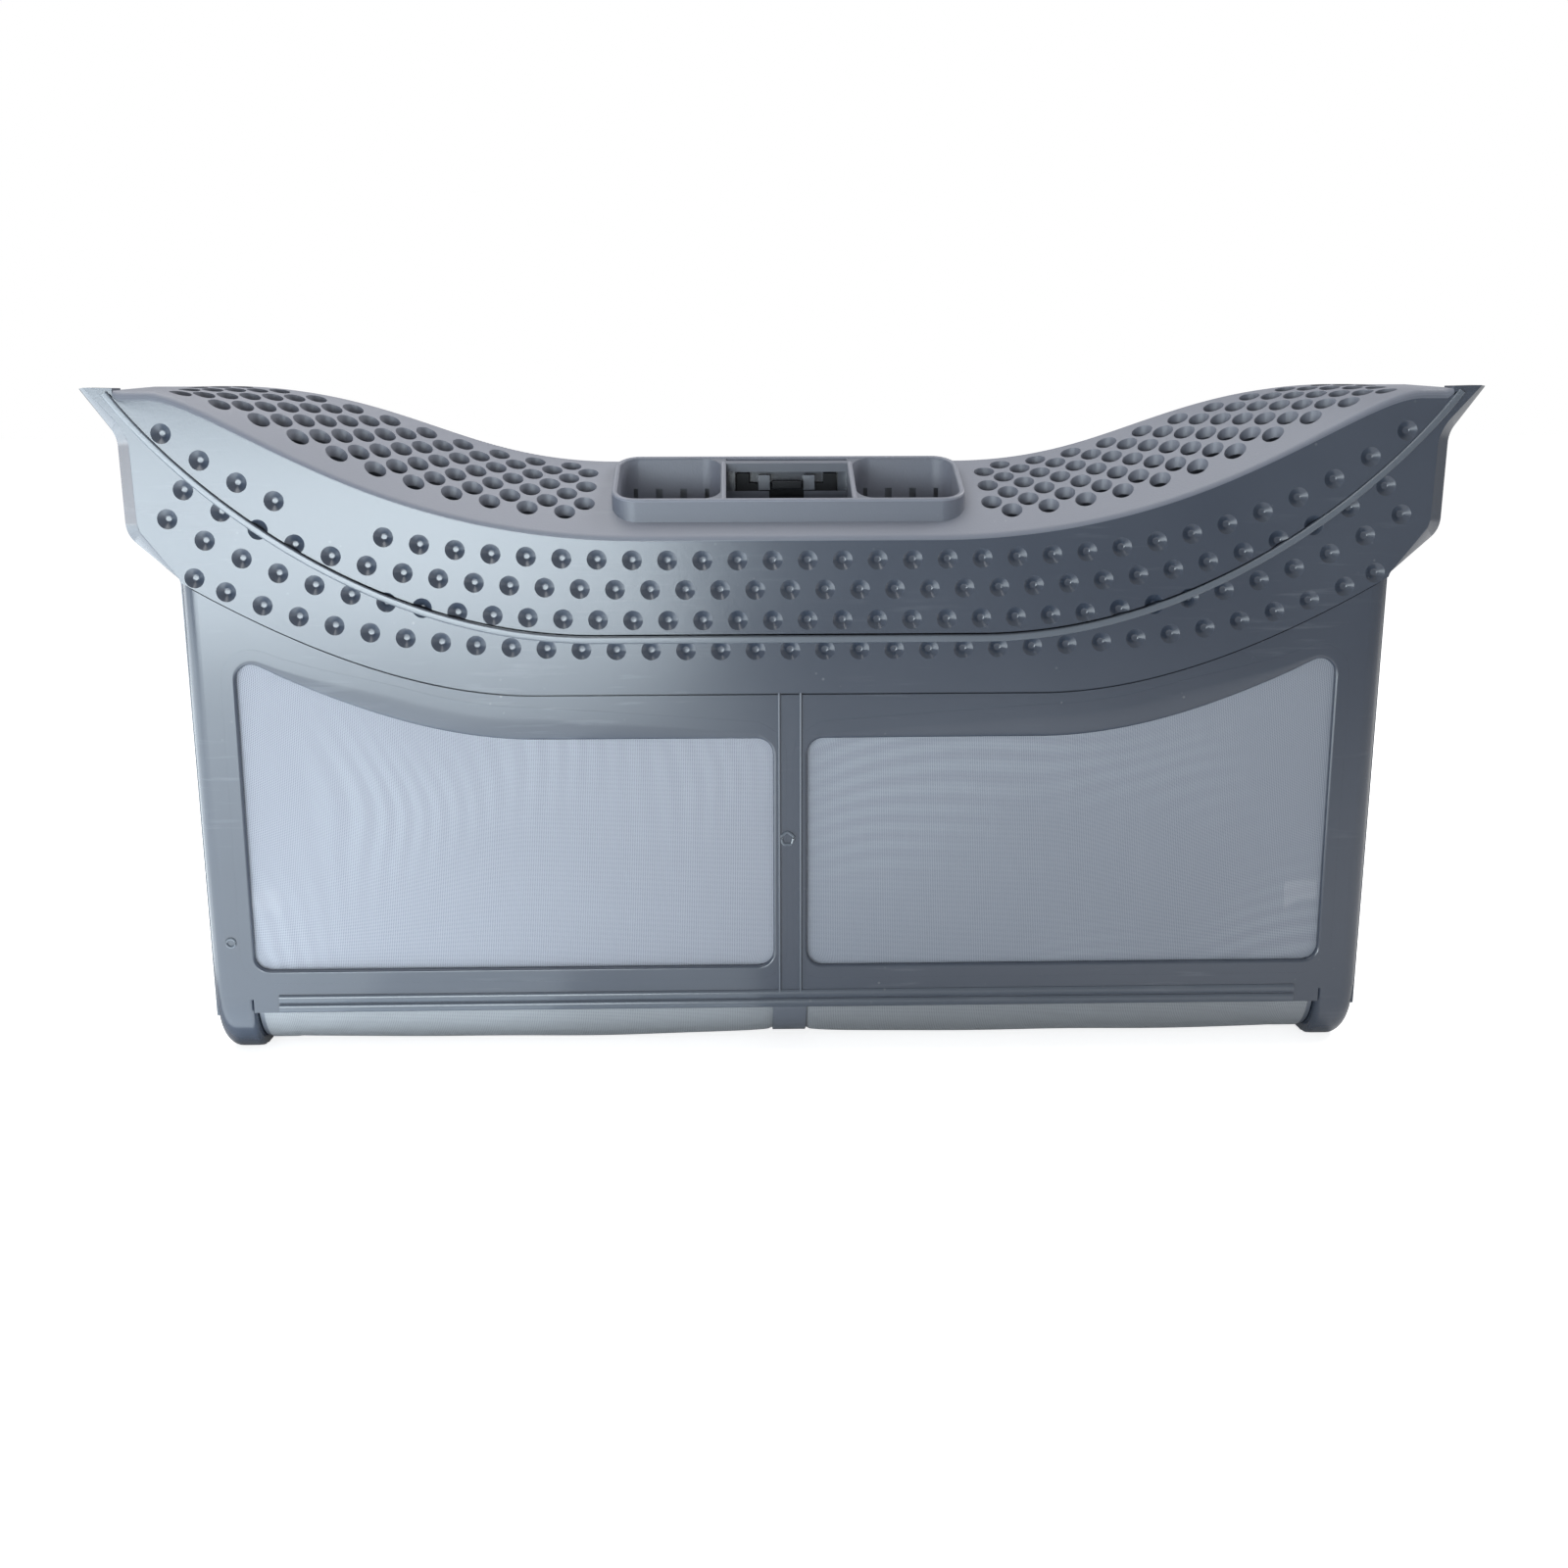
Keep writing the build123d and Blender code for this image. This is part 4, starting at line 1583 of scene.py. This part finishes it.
@dataclass
class TopCover:
    """Cover of the filter: dimpled lip, crease, perforated crown, rear lip and the handle tub.

    Sizes are in mm. crease_wing is the place and the length over which the crease grows rounder.
    rear_thinning is the depth and the length over which the wall thins, and by how much.
    """

    seam_gap: float = 0.5
    wall: float = 3.4
    rear_thinning: tuple[float, float, float] = (17.0, 3.0, 1.0)
    lip: float = 2.5
    rear_lip: float = 4.0
    crease_radius: Point = (1.1, 3.0)
    crease_wing: Point = (140.0, 55.0)
    rear_radius: float = 2.2
    columns: int = 232
    crowding: float = 0.75
    hole_radius: float = 3.3
    hole_sides: int = 28
    hole_foot: float = 150.0
    hole_pitch: float = 11.6
    hole_rows: int = 7
    hole_step: float = 4.75
    hole_front: float = 10.0
    hole_margin: float = 8.7
    hole_reach: Point = (20.0, 15.0)
    tub: HandleTub = field(default_factory=HandleTub)
    dimples: Dimples = field(default_factory=Dimples)

    def section(self, x: float) -> list[Vector]:
        """Closed section of the cover at one place across it.

        Args:
            x: place across the filter, in mm.

        Returns:
            Points round the section, in mm.
        """
        front, rear = SIZES.band_face, SIZES.crown_rear
        low = SIZES.seam.height(x) + self.seam_gap
        crease, edge = SIZES.crease.height(x), SIZES.rear.height(x)
        wing = clamp((abs(x) - self.crease_wing[0]) / self.crease_wing[1])
        tight, wide = self.crease_radius
        turn = min(tight + (wide - tight) * wing * wing, 0.7 * max(crease - low, 0.3))
        line = [(front, low), (front, (low + crease - turn) / 2)]
        start, knee = (front, crease - turn), (front, crease)
        after = (front + turn, SIZES.crown(x, front + turn))
        line += [bend(start, knee, after, k / 6) for k in range(7)]
        first, last = front + turn, rear - self.rear_radius
        steps = 14
        for k in range(1, steps):
            y = first + (last - first) * k / steps
            line.append((y, SIZES.crown(x, y)))
        drop = min(self.rear_radius, max(edge - low - 0.2, 0.2))
        start, after = (last, SIZES.crown(x, last)), (rear, edge - drop)
        line += [bend(start, (rear, edge), after, k / 4) for k in range(5)]
        foot = max(edge - self.rear_lip - 0.2, low)
        near, back = front + self.lip, rear - self.lip
        line += [(y, min(foot, edge - drop - 0.1)) for y in (rear, back)]
        thin_from, thin_over, thinner = self.rear_thinning
        for k in range(12):
            y = back + (near - back) * k / 11
            thick = self.wall - thinner * clamp((y - thin_from) / thin_over)
            top = SIZES.crown(x, y)
            line.append((y, max(top - thick, min(low + 0.05, top - 0.2))))
        line.append((near, low))
        return [Vector((x, y, z)) for y, z in line]

    def shell(self) -> bpy.types.Object:
        """Plain shell of the cover without its holes.

        Returns:
            The new object, with the tones of its faces.
        """
        shares = [2 * k / self.columns - 1 for k in range(self.columns + 1)]
        spread = [math.sin(math.pi / 2 * share * self.crowding) for share in shares]
        rings = [self.section(SIZES.cover_end * s / spread[-1]) for s in spread]
        # Painted light: none on the lip, the ends and the inside, rising round the crease, full on
        # the crown
        lip, crown = Tone.LIP.value, Tone.CROWN.value
        crease, inner = [lip] * 2 + [0.55, 0.85], [lip] * 14
        outer = [crown] * (len(rings[0]) - len(crease) - len(inner))
        tones = (crease + outer + inner) * (len(rings) - 1) + [lip] * 2
        return in_triangles(toned(from_rings("cover", rings), tones))

    def hole_tools(self) -> bpy.types.Object:
        """Upright round cutters of the perforations.

        Returns:
            One object with all the cutters.
        """
        made = []
        for row in range(self.hole_rows):
            y = SIZES.band_face + self.hole_front + row * self.hole_step
            share = row / (self.hole_rows - 1)
            inset = self.hole_reach[0] + (self.hole_reach[1] - self.hole_reach[0]) * share
            x = self.tub.half + self.hole_margin + self.hole_pitch / 2 * ((row + 1) % 2)
            while x < SIZES.seam_tip - inset:
                turns = round_turns(self.hole_sides, 0.09 + 0.013 * x)
                for side in Side:
                    path = circle((side.value * x, y), self.hole_radius, turns)
                    made.append(level_prism("hole", path, self.hole_foot, TUB_TOOL_TOP))
                x += self.hole_pitch
        # The hole walls get the crown's painted light, a little darker as painted shade
        return toned(joined("hole_tools", made), Tone.HOLE)

    def build(self) -> bpy.types.Object:
        """Builds and dresses the cover.

        Returns:
            The new object.
        """
        cover = self.shell()
        cut(cover, self.hole_tools())
        cut(cover, self.dimples.tools(above=True))
        cut(cover, self.tub.opening())
        cover = joined("top_cover_shell", [cover, self.tub.build()])
        cover.data.materials.append(COVER.material())
        smooth(cover)
        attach(cover, "front_half")
        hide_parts("top_cover")
        return cover


@dataclass
class SoftenedNode:
    """A moulding whose shape is right in the frame, carried over with rounded edges."""

    node: str
    body: str
    slot: str
    finish: PlasticFinish
    radius: float = 0.45
    weld: float = 0.00002
    level_angle: float = 0.6
    edge_angle: float = 50.0
    sharp_angle: float = 40.0

    def build(self) -> bpy.types.Object:
        """Builds and dresses the moulding.

        Returns:
            The new object.
        """
        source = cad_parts[self.node]
        mesh = source.data.copy()
        mesh.name = self.node + "_moulding"
        mesh.materials.clear()
        bm = bmesh.new()
        bm.from_mesh(mesh)
        bmesh.ops.remove_doubles(bm, verts=bm.verts, dist=self.weld)
        level = math.radians(self.level_angle)
        bmesh.ops.dissolve_limit(
            bm, angle_limit=level, verts=bm.verts, edges=bm.edges, use_dissolve_boundaries=False
        )
        bm.to_mesh(mesh)
        bm.free()
        obj = new_object(self.node + "_moulding", mesh)
        obj.matrix_world = source.matrix_world.copy()
        edge = obj.modifiers.new("edge", "BEVEL")
        edge.width = self.radius * MM
        edge.segments = 2
        edge.limit_method = "ANGLE"
        edge.angle_limit = math.radians(self.edge_angle)
        edge.use_clamp_overlap = True
        applied(obj)
        obj.data.materials.clear()
        obj.data.materials.append(self.finish.material())
        smooth(obj, self.sharp_angle)
        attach(obj, self.body)
        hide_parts(self.node)
        return obj


@dataclass
class FilterCloth:
    """One stretched piece of filter cloth."""

    node: str
    body: str
    holder: str
    side: Side
    finish: ClothFinish
    thick: float = 0.3
    sharp_angle: float = 50.0

    def sheet(
        self, place: Callable[[float, float], Vector], flat: Point, cells: tuple[int, int]
    ) -> bpy.types.Object:
        """Thin closed sheet with its thread directions.

        Args:
            place: gives a point of the sheet from its shares across and up, in mm.
            flat: its width and length laid flat, in mm.
            cells: faces across and up.

        Returns:
            The new object.
        """
        across, up = cells
        bm = bmesh.new()
        grid = [
            [bm.verts.new(place(i / across, j / up) * MM) for i in range(across + 1)]
            for j in range(up + 1)
        ]
        layer = bm.loops.layers.uv.new("cloth")
        for j in range(up):
            for i in range(across):
                corners = rectangle((i, i + 1), (j, j + 1))
                face = bm.faces.new([grid[b][a] for a, b in corners])
                for loop, (a, b) in zip(face.loops, corners):
                    loop[layer].uv = (a / across * flat[0] * MM, b / up * flat[1] * MM)
        bmesh.ops.recalc_face_normals(bm, faces=bm.faces)
        obj = from_bmesh(self.node + "_cloth", bm)
        layers = obj.modifiers.new("layers", "SOLIDIFY")
        layers.thickness = self.thick * MM
        layers.offset = 0.0
        applied(obj)
        obj.data.materials.clear()
        obj.data.materials.append(self.finish.material())
        obj.data.shade_smooth()
        obj.data.set_sharp_from_angle(angle=math.radians(self.sharp_angle))
        return obj

    def dress(self, obj: bpy.types.Object, flat: Point, area: float) -> bpy.types.Object:
        """Hands the sheet over to the frame.

        Args:
            obj: the sheet.
            flat: its width and length before it was stretched, in mm.
            area: its flat area, in square mm.

        Returns:
            The same object.
        """
        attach(obj, self.body)
        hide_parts(self.node)
        size = (flat[0] * MM, flat[1] * MM)
        area = min(area * MM * MM, size[0] * size[1])
        return obj


@dataclass
class WindowCloth(FilterCloth):
    """Cloth behind one upright window."""

    outer: float = 173.4
    depth: float = -19.5
    slack: float = 0.22
    seat: float = 1.6
    nip: float = 2.6
    nip_rate: float = 14.0
    cells: tuple[int, int] = (64, 40)
    slices: int = 200

    def top(self, x: float) -> float:
        """Upper edge of the cloth at a place across it, in mm."""
        return SIZES.band.height(x) - SIZES.window_drop + self.seat

    def build(self) -> bpy.types.Object:
        """Builds and dresses the cloth.

        Returns:
            The new object.
        """
        inner, outer = SIZES.centre_bar - self.seat, self.outer + self.seat
        low = SIZES.window_sill - self.seat
        width = outer - inner

        def place(u: float, v: float) -> Vector:
            """Point of the sheet, drawn in a little at its four corners.

            Args:
                u: share across.
                v: share up.

            Returns:
                The point, in mm.
            """
            nip = self.nip * max(0.0, 1 - self.nip_rate * min(u, 1 - u))
            nip *= max(0.0, 1 - self.nip_rate * min(v, 1 - v))
            x = inner + width * u
            z = low + (self.top(x) - low) * v
            x += nip if u < 0.5 else -nip
            z += nip if v < 0.5 else -nip
            held = (4 * u * (1 - u)) ** 0.5 * (4 * v * (1 - v)) ** 0.5
            wave = math.sin(9 * u + 2.2 * v) + 0.6 * math.sin(14 * v - 5 * u + 1.0)
            return Vector((x * self.side.value, self.depth + self.slack * held * wave * 0.5, z))

        tall, slice_width = self.top(outer) - low, width / self.slices
        middles = [inner + width * (k + 0.5) / self.slices for k in range(self.slices)]
        area = sum((self.top(x) - low) * slice_width for x in middles)
        obj = self.sheet(place, (width, tall), self.cells)
        return self.dress(obj, (width, tall), area)


@dataclass
class RollCloth(FilterCloth):
    """Cloth of the bottom roll, bent round the hinge line and a little slack.

    Sizes are in mm and degrees. over_ring_x is the place and the length over which the cloth
    rises over the roll's end ring.
    """

    inner: float = 5.2
    outer: float = 172.6
    radius: float = 18.3
    over_ring: float = 19.75
    over_ring_x: Point = (158.0, 7.5)
    front: float = 10.0
    rear: float = 25.0
    belly: float = 2.2
    widest: float = 20.9
    lowest: float = 0.4
    stretch: float = 0.8
    cells: tuple[int, int] = (90, 30)

    def build(self) -> bpy.types.Object:
        """Builds and dresses the cloth.

        Returns:
            The new object.
        """
        width = self.outer - self.inner
        arc = math.radians(180 - self.front - self.rear)

        def place(u: float, v: float) -> Vector:
            """Point of the sheet: it bellies out between its held edges.

            Args:
                u: share across.
                v: share up.

            Returns:
                The point, in mm.
            """
            angle = math.pi + math.radians(self.front) + arc * v
            held = (4 * u * (1 - u)) ** 0.3 * (4 * v * (1 - v)) ** 0.6
            wave = 0.35 * math.sin(7.5 * u + self.side.value) + 0.2 * math.sin(17 * u + 2.0)
            x = self.inner + width * u
            rise = ease(clamp((x - self.over_ring_x[0]) / self.over_ring_x[1]))
            ring = self.radius + (self.over_ring - self.radius) * rise
            reach = max(self.radius + held * (self.belly + 0.5 * wave), ring)
            ((y, z),) = circle(SIZES.hinge, min(reach, self.widest), [angle])
            return Vector((x * self.side.value, y, max(z, self.lowest)))

        tall = (self.radius + self.stretch) * arc
        obj = self.sheet(place, (width, tall), self.cells)
        return self.dress(obj, (width, tall), width * tall)


@dataclass
class Studio:
    """Pale floor, soft light and the camera at the photograph's place."""

    place: tuple[float, float, float] = (-0.01783, -0.58172, 0.21806)
    yaw: float = 1.623
    pitch: float = 12.774
    roll: float = -0.1
    lens: float = 41.35
    sensor: float = 36.0
    nearest: float = 0.01
    day: Colour = (0.84, 0.945, 1.0)
    table: float = 0.0006
    floor: float = 6.0

    def camera(self) -> None:
        """Sets the camera."""
        data = bpy.data.cameras.new("camera")
        data.sensor_width = self.sensor
        data.lens = self.lens
        data.clip_start = self.nearest
        obj = new_object("camera", data)
        yaw, pitch, roll = (math.radians(a) for a in (self.yaw, self.pitch, self.roll))
        right = Vector((math.cos(yaw), -math.sin(yaw), 0.0))
        level = math.cos(pitch)
        ahead = Vector((math.sin(yaw) * level, math.cos(yaw) * level, -math.sin(pitch)))
        up = right.cross(ahead)
        x = right * math.cos(roll) + up * math.sin(roll)
        y = up * math.cos(roll) - right * math.sin(roll)
        turn = Matrix((x, y, -ahead)).transposed().to_4x4()
        obj.matrix_world = Matrix.Translation(self.place) @ turn
        bpy.context.scene.camera = obj

    def lamp(
        self, name: str, place: Sequence[float], target: Sequence[float], size: Point, power: float,
        colour: Colour = (1.0, 1.0, 1.0),
    ) -> None:
        """One soft rectangular lamp.

        Args:
            name: name of the lamp.
            place: where it hangs, in metres.
            target: what it faces, in metres.
            size: its width and height, in metres.
            power: its power, in watts.
            colour: its colour.
        """
        data = bpy.data.lights.new(name, "AREA")
        data.shape = "RECTANGLE"
        data.size, data.size_y = size
        data.energy = power
        data.color = colour
        obj = new_object(name, data)
        obj.location = place
        obj.rotation_euler = (Vector(target) - Vector(place)).to_track_quat("-Z", "Y").to_euler()
        obj.visible_camera = False

    def table_lamp(self, name: str, middle: Point, size: Point, power: float) -> None:
        """Lamp that lies on the table and faces up, so that the front mirrors it.

        Args:
            name: name of the lamp.
            middle: its place on the table, in metres.
            size: its width and depth, in metres.
            power: its power, in watts.
        """
        self.lamp(name, (*middle, self.table), (*middle, 1.0), size, power, self.day)

    def lights(self) -> None:
        """Lamps above, high right, low left and front left, and the bright table at the left."""
        self.lamp("ceiling", (-0.25, 0.14, 0.8), (-0.1, 0.02, 0.2), (0.8, 0.7), 3.8)
        self.lamp("high_right", (0.9, 0.35, 0.9), (0.0, 0.0, 0.2), (0.5, 0.5), 8.0)
        self.lamp("wall_left", (-1.3, 0.35, 0.095), (0.0, 0.35, 0.095), (0.8, 0.17), 1.1)
        window, facing = (-0.5, -0.95, 0.11), (-0.5, 0.0, 0.11)
        self.lamp("window_left", window, facing, (0.86, 0.22), 5.5, self.day)
        near, far = -0.022, -0.73
        strips = ((-0.67, -0.15, 1.0), (-0.15, -0.08, 0.7), (-0.08, -0.01, 0.35))
        for number, (start, end, share) in enumerate(strips):
            middle, size = ((start + end) / 2, (near + far) / 2), (end - start, near - far)
            power = 2.0 * math.pi * size[0] * size[1] * share
            self.table_lamp(f"table_front_{number}", middle, size, power)
        self.table_lamp("table_near", (-0.47, 0.22), (0.42, 0.5), 1.45)
        self.table_lamp("table_left", (-1.14, -0.1), (0.92, 1.2), 10.0)

    def backdrop(self) -> None:
        """White floor and surroundings that keep the shadow."""
        mesh = bpy.data.meshes.new("floor")
        span = (-self.floor, self.floor)
        mesh.from_pydata([(x, y, 0) for x, y in rectangle(span, span)], [], [(0, 1, 2, 3)])
        floor = new_object("floor", mesh)
        paint, graph, shader = new_material("floor_white")
        values = {"Base Color": (0.86, 0.86, 0.86, 1.0), "Emission Color": (1.0, 1.0, 1.0, 1.0)}
        values["Emission Strength"] = self.seen(graph, 0.8, 0.1)
        graph.fill(shader, {**values, "Roughness": 0.8, "Specular IOR Level": 0.1})
        mesh.materials.append(paint)
        world = bpy.data.worlds.new("studio")
        bpy.context.scene.world = world
        world.use_nodes = True
        graph = Graph(world.node_tree)
        strength = graph.sum("ADD", self.seen(graph, 0.75, 0.2), 0.25)
        back = world.node_tree.nodes["Background"]
        graph.fill(back, {"Color": (1.0, 1.0, 1.0, 1.0), "Strength": strength})

    def seen(self, graph: Graph, strength: float, mirrored: float) -> bpy.types.NodeSocket:
        """Strength that shows only to the camera, through glass and in reflections.

        Args:
            graph: the graph that the nodes go into.
            strength: the value for the camera and through glass.
            mirrored: the value in reflections.

        Returns:
            The value's socket.
        """
        ray = graph.add("LightPath").outputs
        shown = graph.sum("MAXIMUM", ray["Is Camera Ray"], ray["Is Transmission Ray"])
        mirror = graph.times(ray["Is Glossy Ray"], mirrored)
        return graph.sum("ADD", graph.times(shown, strength), mirror)

    def build(self) -> None:
        """Sets the camera, the lamps and the backdrop."""
        self.camera()
        self.lights()
        self.backdrop()
        bpy.context.scene.view_settings.view_transform = "Standard"


def cloths() -> list[FilterCloth]:
    """The six pieces of filter cloth.

    Returns:
        The pieces, not yet built.
    """
    pieces: list[FilterCloth] = []
    for side in Side:
        word = side.name.lower()
        # The left cloth carries painted light, the right painted shade
        net = NET_LIT_LEFT if side is Side.LEFT else NET_SHADED_RIGHT
        front, rear = ("front_half", "front_panel_shell"), ("rear_half", "rear_panel_moulding")
        pieces.append(WindowCloth(f"front_mesh_{word}", *front, side, net))
        pieces.append(WindowCloth(f"rear_mesh_{word}", *rear, side, net, outer=166.2, depth=18.8))
        pieces.append(RollCloth(f"bottom_mesh_{word}", *rear, side, NET_ROLL))
    return pieces


def main() -> None:
    """Builds every piece, then the studio."""
    logging.basicConfig(level=logging.INFO, format="%(name)s: %(message)s")
    Studio().build()
    pieces = [FrontPanel(), TopCover()]
    pieces.append(SoftenedNode("rear_panel", "rear_half", "case_plastic", REAR))
    pieces.append(SoftenedNode("latch", "latch_slider", "latch_plastic", SLIDER, 0.3))
    pieces += cloths()
    for piece in pieces:
        made = piece.build()
        LOG.info("%s: %d faces", made.name, len(made.data.polygons))


if __name__ == "__main__":
    main()
